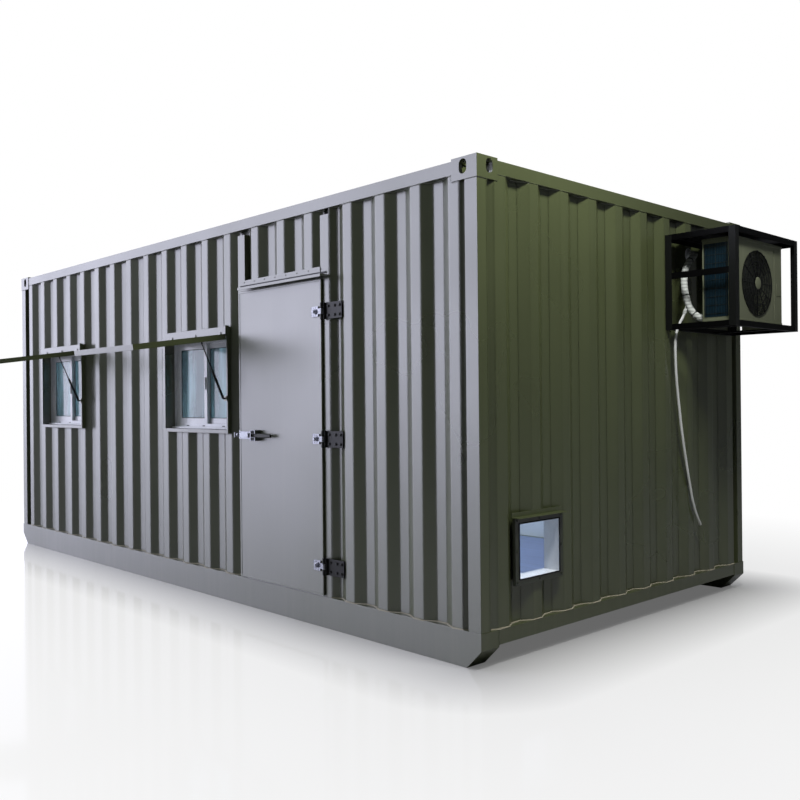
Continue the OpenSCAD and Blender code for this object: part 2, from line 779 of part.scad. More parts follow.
// Gas strut from the surround's foot to a stub under the shutter
module gas_struts() color(black) for (x = win_xs) {
    sx = x + win_w / 2 - strut_foot_w + strut_r + 3;
    head = under_shutter(strut_reach, strut_stub);
    lug = under_shutter(strut_reach, 0);
    p = [sx, win_y - strut_foot_t - strut_stub, win_z + strut_up];
    q = [sx, shutter_y + head[0], shutter_z + head[1]];
    m = p + 0.52 * (q - p);
    bar([sx, win_y - strut_foot_t, p.z], p, strut_rod_r + 2);
    bar(p, m, strut_r);
    bar(m - 0.02 * (q - p), q, strut_rod_r);
    bar(q, [sx, shutter_y + lug[0], shutter_z + lug[1]], strut_rod_r + 2);
}

// ---- Cooling unit ----

// Upright angle bars, one at each corner of the cage
module cage_posts() color(black) {
    a = [cage_x, cage_y, cage_z];
    b = a + [cage_d, cage_w, cage_h];
    for (mx = [0, 1], my = [0, 1])
        translate([mx * (a.x + b.x), my * (a.y + b.y), 0]) mirror([mx, 0, 0]) mirror([0, my, 0]) {
            slab(a, [a.x + angle_v, a.y + angle_t, b.z]);
            slab(a, [a.x + angle_t, a.y + angle_v, b.z]);
        }
}

// Level angle bars between the posts, the flat half way up the near side, and the unit's two rails
module cage_rails() color(black) {
    a = [cage_x, cage_y, cage_z];
    b = a + [cage_d, cage_w, cage_h];
    in = angle_v + weld_gap;
    for (mz = [0, 1]) translate([0, 0, mz * (a.z + b.z)]) mirror([0, 0, mz]) {
        for (mx = [0, 1]) translate([mx * (a.x + b.x), 0, 0]) mirror([mx, 0, 0]) {
            slab([a.x, a.y + in, a.z], [a.x + angle_t, b.y - in, a.z + angle_v - 10]);
            slab([a.x, a.y + in, a.z], [a.x + angle_h, b.y - in, a.z + angle_t]);
        }
        for (my = [0, 1]) translate([0, my * (a.y + b.y), 0]) mirror([0, my, 0]) {
            slab([a.x + in, a.y, a.z], [b.x - in, a.y + angle_t, a.z + angle_v - 10]);
            slab([a.x + in, a.y, a.z], [b.x - in, a.y + angle_h, a.z + angle_t]);
        }
    }
    slab([a.x + in, a.y, mid_bar_z], [b.x - in, a.y + angle_t, mid_bar_z + mid_bar_h]);
    t = angle_t + weld_gap;
    for (y = [unit_y + foot_inset, unit_y + unit_w - foot_inset - rail_bar_w])
        slab([a.x + t, y, a.z + t], [b.x - t, y + rail_bar_w, a.z + angle_t + rail_bar_h]);
}

module cage_roof() color(black)
    slab([cage_x, cage_y, cage_z + cage_h], [cage_x + cage_d, cage_y + cage_w, cage_z + cage_h + 3]);

module unit_casing() color([0.40, 0.42, 0.36]) difference() {
    union() {
        difference() {
            slab([unit_x, unit_y, unit_z], [unit_x + unit_d, unit_y + unit_w, unit_z + unit_h]);
            translate([well_x, fan_y, fan_z]) rotate([0, 90, 0])
                cylinder(h = well_d + 1, r = fan_r, $fn = 2 * fine);
            // Groove beside the fan
            slab([unit_x + unit_d - 4, unit_y + unit_w - 114, unit_z + 30],
                 [unit_x + unit_d + 1, unit_y + unit_w - 108, unit_z + unit_h - 30]);
        }
        translate([well_x - 1, fan_y, fan_z]) rotate([0, 90, 0])
            cylinder(h = motor_l + 1, r = motor_r, $fn = fine);
        for (y = [unit_y + foot_inset - 5, unit_y + unit_w - foot_inset - foot_w + 5])
            slab([unit_x - 10, y, unit_z - foot_h], [unit_x + unit_d + 10, y + foot_w, unit_z]);
    }
    translate([well_x + 4, fan_y, fan_z]) rotate([0, 90, 0])
        cylinder(h = motor_l, r = shaft_r + pin_gap, $fn = fine);
}

module unit_grille() color(black) translate([unit_x + unit_d, fan_y, fan_z]) rotate([0, 90, 0]) {
    step = (fan_r - grille_cap_r) / grille_rings;
    for (i = [1 : grille_rings]) {
        r = grille_cap_r + i * step;
        difference() {
            cylinder(h = grille_t, r = r + grille_ring / 2, $fn = 2 * fine);
            translate([0, 0, -1]) cylinder(h = grille_t + 2, r = r - grille_ring / 2, $fn = 2 * fine);
        }
    }
    cylinder(h = grille_t + 2, r = grille_cap_r, $fn = fine);
    for (k = [0 : grille_bars - 1]) rotate(k * 180 / grille_bars)
        translate([-fan_r - 6, -grille_ring / 2, 0]) cube([2 * (fan_r + 6), grille_ring, grille_t + 1]);
}

module unit_fan() color([0.10, 0.11, 0.10])
    translate([well_x + motor_l + 6, fan_y, fan_z]) rotate([0, 90, 0]) {
        cylinder(h = hub_l, r = hub_r, $fn = fine);
        translate([0, 0, -28]) cylinder(h = 29, r = shaft_r, $fn = fine);
        // Tilted blades trimmed to the sweep circle
        intersection() {
            cylinder(h = hub_l, r = fan_r - blade_gap, $fn = 2 * fine);
            for (k = [0 : blades - 1]) rotate(k * 360 / blades) translate([hub_r - 6, 0, hub_l / 2])
                rotate([blade_tilt, 0, 0]) translate([0, -blade_l, -blade_t / 2])
                    cube([fan_r, 2 * blade_l, blade_t]);
        }
    }

module pipe_bundle() color([0.72, 0.73, 0.70]) {
    swept(pipe_route, pipe_d);
    swept(collar_route, collar_d);
}

module drain_hose() color([0.80, 0.81, 0.80]) swept(hose_route, hose_d, 10);

// ---- Cable port ----

module port_frame() color(paint_dark) difference() {
    t = port_t;
    lo = [port_y - port_w / 2, port_z];
    hi = [port_y + port_w / 2, port_z + port_h];
    union() {
        slab([room_x, lo[0] - t, lo[1] - t], [wall_x + port_proud, hi[0] + t, hi[1] + t]);
        slab([wall_x, lo[0] - port_rim, lo[1] - port_rim],
             [wall_x + port_proud, hi[0] + port_rim, hi[1] + port_rim]);
    }
    slab([room_x - 1, lo[0], lo[1]], [wall_x + port_proud + 1, hi[0], hi[1]]);
}

module port_hood() color(paint) {
    z = port_z + port_h + port_rim;
    y0 = port_y - port_w / 2 - port_rim - 10;
    y1 = port_y + port_w / 2 + port_rim + 10;
    slab([wall_x, y0, z], [wall_x + port_proud + 35, y1, z + 3]);
    slab([wall_x, y0, z + 3], [wall_x + 3, y1, z + 28]);
}

skid_front();
skid_back();
end_sills();
floor_joists();
floor_deck();
corner_posts();
corner_castings();
top_rails();
front_skin_left();
front_skin_right();
front_skin_over_door();
back_skin();
right_end_skin();
left_end_skin();
roof_skin();
roof_end_plates();
front_lining_left();
front_lining_right();
front_lining_over_door();
back_lining();
right_end_lining();
left_end_lining();
ceiling_panels();
door_jambs();
door_header();
door_threshold();
rain_hood();
door_leaf();
hinge_straps();
hinge_arms();
latch_body();
latch_lever();
latch_keeper();
window_surrounds();
window_frames();
window_sashes();
window_panes();
shutter_left();
shutter_right();
gas_struts();
cage_posts();
cage_rails();
cage_roof();
unit_casing();
unit_grille();
unit_fan();
pipe_bundle();
drain_hose();
port_frame();
port_hood();
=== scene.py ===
"""Looks of the container cabin: camera, light, finishes and the small pieces around its CAD nodes.

Metres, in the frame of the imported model: +Z up, the door side faces -Y, and the end wall with
the cooling unit faces +X.
"""

import json
import math
import random

import bmesh
import bpy
from mathutils import Matrix, Vector


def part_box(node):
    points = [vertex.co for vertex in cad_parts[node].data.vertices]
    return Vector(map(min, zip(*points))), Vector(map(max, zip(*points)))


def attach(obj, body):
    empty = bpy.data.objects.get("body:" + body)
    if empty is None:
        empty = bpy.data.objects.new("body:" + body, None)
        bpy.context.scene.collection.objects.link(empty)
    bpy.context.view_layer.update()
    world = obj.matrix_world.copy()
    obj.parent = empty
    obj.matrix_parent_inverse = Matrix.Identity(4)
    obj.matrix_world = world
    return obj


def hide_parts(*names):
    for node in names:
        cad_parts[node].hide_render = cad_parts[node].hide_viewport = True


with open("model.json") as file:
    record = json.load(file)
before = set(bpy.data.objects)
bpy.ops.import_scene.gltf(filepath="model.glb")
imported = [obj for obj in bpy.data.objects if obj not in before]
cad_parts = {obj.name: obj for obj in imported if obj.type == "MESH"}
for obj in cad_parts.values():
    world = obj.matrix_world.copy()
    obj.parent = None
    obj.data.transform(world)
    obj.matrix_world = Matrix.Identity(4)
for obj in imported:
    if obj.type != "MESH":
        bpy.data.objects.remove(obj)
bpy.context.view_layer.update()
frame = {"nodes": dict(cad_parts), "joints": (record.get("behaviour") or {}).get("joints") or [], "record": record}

# CAD bodies that pieces ride on, and the ways out of the door side and of the cooling unit's end.
CABIN, DOOR, LEVER = "cabin", "door", "lever"
OUT = (0, -1, 0)
END_OUT = (1, 0, 0)
# Radii of a weld bead, and of the line of sealant at a wall's foot.
BEAD = 0.0035
FOOT_BEAD = 0.0055
random.seed(7)


# ---- Camera ----

# Solved from straight edges of the body in the photo. Angles are in radians, the lens in mm.
CAMERA_AT = Vector((6.030, -3.457, 1.372))
CAMERA_YAW = 0.8132
CAMERA_PITCH = 0.001
CAMERA_ROLL = -0.0095
CAMERA_LENS = 40.2


def make_camera():
    """Camera at standing height off the cabin's near corner."""
    ahead = Vector((
        -math.sin(CAMERA_YAW) * math.cos(CAMERA_PITCH),
        math.cos(CAMERA_YAW) * math.cos(CAMERA_PITCH),
        math.sin(CAMERA_PITCH),
    ))
    right = Vector((math.cos(CAMERA_YAW), math.sin(CAMERA_YAW), 0))
    up = right.cross(ahead)
    rolled_right = math.cos(CAMERA_ROLL) * right + math.sin(CAMERA_ROLL) * up
    rolled_up = math.cos(CAMERA_ROLL) * up - math.sin(CAMERA_ROLL) * right
    data = bpy.data.cameras.new("camera")
    data.lens = CAMERA_LENS
    data.clip_end = 200
    camera = bpy.data.objects.new("camera", data)
    bpy.context.scene.collection.objects.link(camera)
    axes = Matrix((rolled_right, rolled_up, -ahead)).transposed()
    camera.matrix_world = Matrix.Translation(CAMERA_AT) @ axes.to_4x4()
    bpy.context.scene.camera = camera


# ---- Node helpers ----

class Nodes:
    """A material or world node tree, with short calls that add a node and return its output."""

    def __init__(self, owner):
        owner.use_nodes = True
        self.tree = owner.node_tree
        self.tree.nodes.clear()

    def add(self, kind, inputs=(), **settings):
        node = self.tree.nodes.new(kind)
        for name, value in settings.items():
            setattr(node, name, value)
        for name, value in dict(inputs).items():
            self.feed(node.inputs[name], value)
        return node

    def feed(self, socket, value):
        if isinstance(value, bpy.types.NodeSocket):
            self.tree.links.new(value, socket)
        else:
            socket.default_value = value

    def place(self):
        return self.add("ShaderNodeTexCoord").outputs["Object"]

    def stretched(self, scale):
        mapping = self.add("ShaderNodeMapping", {"Vector": self.place(), "Scale": scale})
        return mapping.outputs["Vector"]

    def noise(self, scale, detail=3.0, stretch=(1, 1, 1)):
        vector = self.stretched(stretch)
        node = self.add("ShaderNodeTexNoise", {"Vector": vector, "Scale": scale, "Detail": detail})
        return node.outputs["Fac"]

    def ranged(self, value, start, end, to_start=0.0, to_end=1.0, **settings):
        """Value that goes from to_start to to_end while the given one goes from start to end."""
        node = self.add("ShaderNodeMapRange", {
            "Value": value, "From Min": start, "From Max": end,
            "To Min": to_start, "To Max": to_end}, **settings)
        return node.outputs["Result"]

    def maths(self, operation, *values, kind="ShaderNodeMath"):
        node = self.add(kind, operation=operation)
        for socket, value in zip(node.inputs, values):
            self.feed(socket, value)
        return node.outputs["Value"]

    def vector_maths(self, operation, *vectors):
        return self.maths(operation, *vectors, kind="ShaderNodeVectorMath")

    def mixed(self, share, a, b):
        node = self.add("ShaderNodeMix", {"Factor": share}, data_type="RGBA")
        self.feed(node.inputs[6], a)
        self.feed(node.inputs[7], b)
        return node.outputs[2]

    def bumped(self, height, strength, distance, normal=None):
        inputs = {"Height": height, "Strength": strength, "Distance": distance}
        if normal is not None:
            inputs["Normal"] = normal
        return self.add("ShaderNodeBump", inputs).outputs["Normal"]

    def axes(self):
        """Outputs X, Y and Z of the place."""
        return self.add("ShaderNodeSeparateXYZ", {"Vector": self.place()}).outputs

    def rounded(self, radius):
        return self.add("ShaderNodeBevel", {"Radius": radius}, samples=6).outputs["Normal"]

    def shade(self, color, roughness, normal=None, **constants):
        """Principled surface; constants are named by socket with underscores for spaces."""
        node = self.add("ShaderNodeBsdfPrincipled", {"Base Color": color, "Roughness": roughness})
        for name, value in constants.items():
            node.inputs[name.replace("_", " ")].default_value = value
        if normal is not None:
            self.feed(node.inputs["Normal"], normal)
        self.out(node.outputs["BSDF"])

    def unless_seen(self, shader, seen_shader, share=1.0):
        """First shader; straight from the camera or through glass, a share of the second."""
        path = self.add("ShaderNodeLightPath").outputs
        seen = self.maths("MAXIMUM", path["Is Camera Ray"], path["Is Transmission Ray"])
        both = self.add("ShaderNodeMixShader", {"Fac": self.maths("MULTIPLY", share, seen)})
        self.tree.links.new(shader.outputs[0], both.inputs[1])
        self.tree.links.new(seen_shader.outputs[0], both.inputs[2])
        return both.outputs["Shader"]

    def out(self, shader, kind="ShaderNodeOutputMaterial"):
        output = self.add(kind)
        self.tree.links.new(shader, output.inputs["Surface"])


def srgb(red, green, blue):
    """Linear colour, with alpha 1, from 0-255 display values."""
    def linear(c):
        c /= 255
        return c / 12.92 if c <= 0.04045 else ((c + 0.055) / 1.055) ** 2.4
    return (linear(red), linear(green), linear(blue), 1.0)


def tinted(color, factor):
    return tuple(c * factor for c in color[:3]) + (1.0,)


# ---- Materials ----

# Colour of dust on the paint, and the height that it reaches.
DUST = srgb(118, 114, 98)
DUST_REACH = 0.55


def paint(n, color, gloss=0.30, edge=0.0025, dust=0.12, ior=2.15, edge_wear_and_highlight=0.55):
    """Sprayed semi-gloss paint on sheet steel: faint runs, dust near the ground, and edges painted lighter, partly
    as wear and partly as a painted highlight.
    """
    broad = n.noise(0.9, 3)
    runs = n.noise(2.2, 4, (9, 9, 0.35))
    grain = n.noise(420, 2)
    peel = n.noise(260, 2)
    tone = n.mixed(n.ranged(broad, 0.3, 0.7), tinted(color, 0.90), tinted(color, 1.10))
    tone = n.mixed(n.ranged(runs, 0.55, 0.80, 0.0, 0.22), tone, tinted(color, 1.55))
    dusty = n.ranged(n.axes()["Z"], 0.0, DUST_REACH, dust, 0.0)
    tone = n.mixed(n.maths("MULTIPLY", dusty, n.ranged(runs, 0.35, 0.7)), tone, DUST)
    # At an edge, the rounded normal leans away from the face's own.
    bevel = n.rounded(edge)
    true_normal = n.add("ShaderNodeNewGeometry").outputs["True Normal"]
    facing = n.vector_maths("DOT_PRODUCT", bevel, true_normal)
    # Edges are painted lighter: partly worn paint, partly a painted highlight along them.
    worn_and_highlit = n.ranged(facing, 0.97, 0.80, 0.0, edge_wear_and_highlight)
    worn_and_highlit = n.maths("MULTIPLY", worn_and_highlit, n.ranged(grain, 0.35, 0.6))
    tone = n.mixed(worn_and_highlit, tone, tinted(color, 2.2))
    rough = n.ranged(broad, 0.3, 0.7, gloss - 0.05, gloss + 0.07)
    rough = n.maths("ADD", rough, n.maths("MULTIPLY", dusty, 0.4))
    n.shade(tone, rough, n.bumped(peel, 0.03, 0.001, bevel), IOR=ior)


def panel(n, color, pitch=1.0):
    """White-faced insulated panel with a shallow groove at each joint, along X and Y."""
    axes = n.axes()
    lines = [n.ranged(n.maths("PINGPONG", axes[axis], pitch / 2), 0.0, 0.006) for axis in "XY"]
    grooves = n.maths("MULTIPLY", *lines)
    speck = n.noise(300, 2)
    tone = n.mixed(grooves, tinted(color, 0.55), color)
    tone = n.mixed(n.ranged(n.noise(1.4, 3), 0.3, 0.8, 0.0, 0.25), tone, tinted(color, 0.88))
    normal = n.bumped(grooves, 0.5, 0.004)
    normal = n.bumped(speck, 0.05, 0.001, normal)
    n.shade(tone, n.ranged(speck, 0.3, 0.7, 0.38, 0.5), normal)


def plastic(n, color, gloss, bump=0.05, edge=0.0015, ior=1.5):
    """Moulded plastic or rubber: a fine moulded grain and slight shade changes."""
    grain = n.noise(520, 3)
    tone = n.mixed(n.ranged(n.noise(6, 3), 0.3, 0.7), tinted(color, 0.92), tinted(color, 1.05))
    normal = n.bumped(grain, bump, 0.001, n.rounded(edge))
    n.shade(tone, n.ranged(grain, 0.3, 0.7, gloss - 0.06, gloss + 0.06), normal, IOR=ior)


def plated(n, color, gloss):
    """Plated steel, with fine polishing marks and dull spots."""
    marks = n.noise(60, 3, (1, 1, 6))
    spots = n.noise(240, 3)
    tone = n.mixed(n.ranged(spots, 0.62, 0.75, 0.0, 0.5), color, tinted(color, 0.5))
    rough = n.ranged(marks, 0.3, 0.7, gloss - 0.06, gloss + 0.12)
    normal = n.bumped(marks, 0.08, 0.001, n.rounded(0.002))
    n.shade(tone, rough, normal, Metallic=1.0)


def glass(n, color):
    """Tinted float glass: a faint ripple, and upright lighter streaks that are partly haze and partly a painted
    reflection.
    """
    ripple = n.bumped(n.noise(5, 2), 0.05, 0.004)
    haze_and_painted_reflection = n.ranged(n.noise(7, 3, (1.0, 1.0, 0.12)), 0.42, 0.66)
    # Painted reflection: the glass is darker between the streaks, so the streaks read as reflected light.
    tone = n.mixed(haze_and_painted_reflection, tinted(color, 0.35), color)
    rough = n.ranged(n.noise(14, 4), 0.4, 0.75, 0.02, 0.10)
    n.shade(tone, n.maths("ADD", rough, n.maths("MULTIPLY", haze_and_painted_reflection, 0.12)), ripple,
            Transmission_Weight=0.6, IOR=1.5)


def floor_board(n, color):
    """Sealed plywood deck: grain along the cabin, and joints between boards."""
    grain = n.noise(7, 5, (0.25, 6, 6))
    joint = n.ranged(n.maths("PINGPONG", n.axes()["X"], 0.6), 0.0, 0.004)
    tone = n.mixed(n.ranged(grain, 0.3, 0.7), tinted(color, 0.75), tinted(color, 1.15))
    tone = n.mixed(joint, tinted(color, 0.3), tone)
    n.shade(tone, n.ranged(grain, 0.3, 0.7, 0.4, 0.55), n.bumped(grain, 0.15, 0.002))


def tape(n, color):
    """Cloth tape wound round foam pipe cover: overlapping turns and creases, with painted shade darkening the
    seams between turns and the creases.
    """
    wraps = n.add("ShaderNodeTexWave", {
        "Vector": n.place(), "Scale": 14.0, "Distortion": 2.5, "Detail": 2.0},
        wave_type="BANDS", bands_direction="Z").outputs["Fac"]
    creases = n.noise(60, 4)
    # Painted shade: the seams between turns and the creases are darker.
    tone = n.mixed(n.ranged(wraps, 0.1, 0.5), tinted(color, 0.62), color)
    tone = n.mixed(n.ranged(creases, 0.55, 0.8, 0.0, 0.4), tone, tinted(color, 0.7))
    normal = n.bumped(wraps, 0.5, 0.003)
    n.shade(tone, 0.55, n.bumped(creases, 0.3, 0.002, normal))


def coil(n, color):
    """Fin stack of the heat exchanger: close upright fins drawn as fine lines, with painted shade in the gaps and
    lighter painted fin edges.
    """
    fins = n.add("ShaderNodeTexWave", {"Vector": n.stretched((1, 1, 0)), "Scale": 60.0},
                 wave_type="BANDS", bands_direction="DIAGONAL").outputs["Fac"]
    # Painted shade and highlight: dark stripes for the gaps between fins, light ones for the fins.
    tone = n.mixed(n.ranged(fins, 0.2, 0.8), tinted(color, 0.35), tinted(color, 1.3))
    tone = n.mixed(n.ranged(n.noise(9, 3), 0.4, 0.7, 0.0, 0.5), tone, tinted(color, 0.6))
    n.shade(tone, 0.4, n.bumped(fins, 0.6, 0.003), Metallic=0.4)


OLIVE = srgb(68, 74, 47)
OLIVE_DARK = srgb(40, 45, 32)
BLACK = srgb(17, 18, 18)

# Finish, colour and options of every look.
FINISHES = {
    "olive_paint": (paint, OLIVE, {}),
    "sheet_paint": (paint, OLIVE, {"edge": 0.016, "edge_wear_and_highlight": 0.0}),
    "door_paint": (paint, OLIVE, {"gloss": 0.36, "ior": 2.35}),
    "olive_paint_dark": (paint, OLIVE_DARK, {"gloss": 0.42, "edge": 0.006, "dust": 0.1}),
    "black_paint": (paint, BLACK, {"gloss": 0.45, "dust": 0.1, "ior": 1.4}),
    # A darker copy of the black paint for the cage's rails and roof: painted shade.
    "cage_paint_shaded": (paint, srgb(6, 6, 7), {"gloss": 0.55, "dust": 0.0, "ior": 1.25}),
    "chrome": (plated, srgb(146, 148, 154), {"gloss": 0.28}),
    "white_panel": (panel, srgb(222, 224, 222), {}),
    "white_plastic": (plastic, srgb(230, 233, 236), {"gloss": 0.25, "ior": 1.9}),
    "glass": (glass, srgb(186, 222, 224), {}),
    "floor": (floor_board, srgb(128, 138, 165), {}),
    "threshold": (plated, srgb(168, 168, 165), {"gloss": 0.38}),
    "unit_paint": (paint, srgb(100, 104, 84), {"gloss": 0.45, "dust": 0.0, "ior": 1.5}),
    "black_plastic": (plastic, srgb(34, 36, 33), {"gloss": 0.5, "bump": 0.15}),
    "pipe_tape": (tape, srgb(190, 194, 188), {}),
    "hose": (plastic, srgb(206, 208, 205), {"gloss": 0.4, "bump": 0.1}),
    "rubber": (plastic, srgb(22, 22, 24), {"gloss": 0.6, "bump": 0.2}),
    "coil": (coil, srgb(24, 46, 58), {}),
    "sealant": (plastic, srgb(156, 151, 132), {"gloss": 0.6}),
}


def make_look(name):
    """Material of a look, with the look's name."""
    finish, color, options = FINISHES[name]
    material = bpy.data.materials.new(name)
    finish(Nodes(material), color, **options)
    return material


LOOKS = {name: make_look(name) for name in FINISHES}
# Look of a CAD node, where it isn't the look of its material slot.
NODE_LOOKS = {
    "front_skin_left": "sheet_paint",
    "front_skin_right": "sheet_paint",
    "front_skin_over_door": "sheet_paint",
    "back_skin": "sheet_paint",
    "right_end_skin": "sheet_paint",
    "left_end_skin": "sheet_paint",
    "roof_skin": "sheet_paint",
    "door_leaf": "door_paint",
    "cage_rails": "cage_paint_shaded",
    "cage_roof": "cage_paint_shaded",
}


def dress_nodes():
    """Gives every CAD node its own look, or else the look of its material slot."""
    for part in frame["record"]["subparts"]:
        node = frame["nodes"][part["node"]]
        look = LOOKS[NODE_LOOKS.get(part["node"], part["material_slot"])]
        if not node.material_slots:
            node.data.materials.append(look)
        for held in node.material_slots:
            held.material = look


# ---- Shapes ----

def add_box(bm, lo, hi):
    """Box between two corners, added to a bmesh."""
    lo, hi = Vector(lo), Vector(hi)
    for vert in bmesh.ops.create_cube(bm, size=1.0)["verts"]:
        vert.co = Vector((lo[i] + (vert.co[i] + 0.5) * (hi[i] - lo[i]) for i in range(3)))


def add_loft(bm, start, end):
    """Closed solid between two outlines with the same number of corners."""
    one = [bm.verts.new(corner) for corner in start]
    two = [bm.verts.new(corner) for corner in end]
    bm.faces.new(one)
    bm.faces.new(two)
    for i in range(len(one)):
        k = (i + 1) % len(one)
        bm.faces.new((one[i], one[k], two[k], two[i]))


def add_disc(bm, centre, axis, radius, thickness, sides=24, top=None):
    """Short round bar from centre along axis; top is the radius of its far end."""
    made = bmesh.ops.create_cone(
        bm, cap_ends=True, segments=sides, radius1=radius,
        radius2=radius if top is None else top, depth=thickness)["verts"]
    turn = Vector((0, 0, 1)).rotation_difference(Vector(axis)).to_matrix().to_4x4()
    place = Matrix.Translation(Vector(centre)) @ turn @ Matrix.Translation((0, 0, thickness / 2))
    bmesh.ops.transform(bm, matrix=place, verts=made)


def add_tube(bm, points, radius, sides=8):
    """Tube through points, with its ends closed."""
    points = [Vector(p) for p in points]
    last = len(points) - 1
    side = None
    rings = []
    for i, point in enumerate(points):
        ahead = (points[min(i + 1, last)] - points[max(i - 1, 0)]).normalized()
        if side is None:
            side = ahead.orthogonal()
        side = (side - side.dot(ahead) * ahead).normalized()
        across = ahead.cross(side)
        rings.append([
            bm.verts.new(point + radius * (math.cos(t) * side + math.sin(t) * across))
            for t in (2 * math.pi * k / sides for k in range(sides))])
    for one, two in zip(rings, rings[1:]):
        for k in range(sides):
            m = (k + 1) % sides
            bm.faces.new((one[k], one[m], two[m], two[k]))
    bm.faces.new(reversed(rings[0]))
    bm.faces.new(rings[-1])


def ring_points(centre, axis, radius, count):
    """Points round a circle, with the first one repeated at the end."""
    turn = Vector((0, 0, 1)).rotation_difference(Vector(axis)).to_matrix()
    return [Vector(centre) + turn @ Vector((
        radius * math.cos(2 * math.pi * k / count), radius * math.sin(2 * math.pi * k / count), 0))
        for k in range(count + 1)]


def piece(name, build, look, body=CABIN, bevel=0.0):
    """Object made by build(bmesh), in a look, riding on a CAD body."""
    bm = bmesh.new()
    build(bm)
    bmesh.ops.recalc_face_normals(bm, faces=bm.faces)
    mesh = bpy.data.meshes.new(name)
    bm.to_mesh(mesh)
    bm.free()
    mesh.materials.append(LOOKS[look])
    obj = bpy.data.objects.new(name, mesh)
    bpy.context.scene.collection.objects.link(obj)
    if bevel:
        rounding = obj.modifiers.new("rounding", "BEVEL")
        rounding.width = bevel
        rounding.segments = 2
        rounding.limit_method = "ANGLE"
    mesh.shade_smooth()
    mesh.set_sharp_from_angle(angle=math.radians(40))
    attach(obj, body)
    return obj


# ---- Drain hose ----

HOSE_DIAMETER = 0.018
# Middle line of the hose, from the sleeve at the pipe pair to its loose end.
HOSE_ROUTE = [
    (3.104, 1.848, 1.921), (3.096, 1.842, 1.897), (3.081, 1.822, 1.852), (3.072, 1.807, 1.808),
    (3.067, 1.800, 1.760), (3.063, 1.801, 1.710), (3.060, 1.806, 1.660), (3.057, 1.813, 1.610),
    (3.054, 1.821, 1.560), (3.052, 1.830, 1.510), (3.050, 1.840, 1.460), (3.049, 1.850, 1.410),
    (3.048, 1.860, 1.360), (3.047, 1.871, 1.310), (3.046, 1.882, 1.260), (3.045, 1.893, 1.210),
    (3.045, 1.904, 1.160), (3.045, 1.916, 1.110), (3.045, 1.928, 1.060), (3.045, 1.941, 1.010),
    (3.045, 1.955, 0.960), (3.045, 1.969, 0.910), (3.045, 1.984, 0.860), (3.045, 1.999, 0.810),
    (3.045, 2.014, 0.760), (3.045, 2.029, 0.710), (3.045, 2.048, 0.665), (3.045, 2.070, 0.620),
    (3.045, 2.098, 0.575), (3.045, 2.138, 0.521),
]


def drain_hose():
    """Free hose that hangs from the pipe pair and ends cut square."""
    data = bpy.data.curves.new("hose", "CURVE")
    data.dimensions = "3D"
    data.bevel_depth = HOSE_DIAMETER / 2
    data.bevel_resolution = 4
    data.use_fill_caps = True
    spline = data.splines.new("BEZIER")
    spline.bezier_points.add(len(HOSE_ROUTE) - 1)
    for point, place in zip(spline.bezier_points, HOSE_ROUTE):
        point.co = place
        point.handle_left_type = point.handle_right_type = "AUTO"
    spline.resolution_u = 4
    data.materials.append(LOOKS["hose"])
    hose = bpy.data.objects.new("hose", data)
    bpy.context.scene.collection.objects.link(hose)
    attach(hose, CABIN)
    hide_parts("drain_hose")


# ---- Light and floor ----

WHITE = (1, 1, 1, 1)
MIDDLE_Y = 1.36
# Way to the surround's bright side, and the cosines off it where it starts and is full.
BRIGHT_WAY = Vector((-0.98, -0.16, 0.12)).normalized()
BRIGHT_FROM, BRIGHT_FULL = 0.45, 0.74
DIM_LIGHT, DIM_STRENGTH = srgb(134, 138, 134), 0.28
BRIGHT_LIGHT, BRIGHT_STRENGTH = srgb(230, 231, 252), 3.6


def make_world():
    """White surround to the eye; as a light it is brighter off the far end of the door side."""
    world = bpy.data.worlds.new("studio")
    bpy.context.scene.world = world
    n = Nodes(world)
    side = n.vector_maths("DOT_PRODUCT", n.add("ShaderNodeTexCoord").outputs["Generated"], BRIGHT_WAY)
    lit = n.ranged(side, BRIGHT_FROM, BRIGHT_FULL, interpolation_type="SMOOTHSTEP")
    light = n.add("ShaderNodeBackground", {
        "Color": n.mixed(lit, DIM_LIGHT, BRIGHT_LIGHT),
        "Strength": n.ranged(lit, 0.0, 1.0, DIM_STRENGTH, BRIGHT_STRENGTH)})
    white = n.add("ShaderNodeBackground", {"Color": WHITE, "Strength": 1.0})
    n.out(n.unless_seen(light, white), "ShaderNodeOutputWorld")


def area_light(name, at, target, size, power, color=(1, 1, 1)):
    """Soft lamp turned towards target; gloss mirrors the surround and not the lamp."""
    data = bpy.data.lights.new(name, "AREA")
    data.shape = "RECTANGLE"
    data.size, data.size_y = size
    data.energy = power
    data.color = color
    lamp = bpy.data.objects.new(name, data)
    bpy.context.scene.collection.objects.link(lamp)
    lamp.location = at
    lamp.rotation_euler = (Vector(target) - Vector(at)).to_track_quat("-Z", "Y").to_euler()
    lamp.visible_glossy = False


def make_lights():
    """Key and rim lamps, a small lamp that rakes the end wall's head, and a cool lamp in the room."""
    middle = (0, MIDDLE_Y, 1.3)
    area_light("key", (-3.0, -8.0, 10.0), middle, (6, 4), 210)
    area_light("end_fill", (4.5, 0.2, 4.3), (3.0, 0.4, 2.2), (0.8, 0.5), 150)
    area_light("rim", (4.0, 9.0, 6.0), middle, (6, 4), 180)
    area_light("room", (0, MIDDLE_Y, 2.45), (0, MIDDLE_Y, 0), (4.5, 1.2), 75, (0.66, 0.78, 1.0))


# Half the cabin's footprint on each axis, and how far from it the floor's shade and grey end.
HALF_FOOTPRINT = {"X": 2.95, "Y": 1.40}
SHADE_REACH, GREY_REACH = 0.7, 4.0


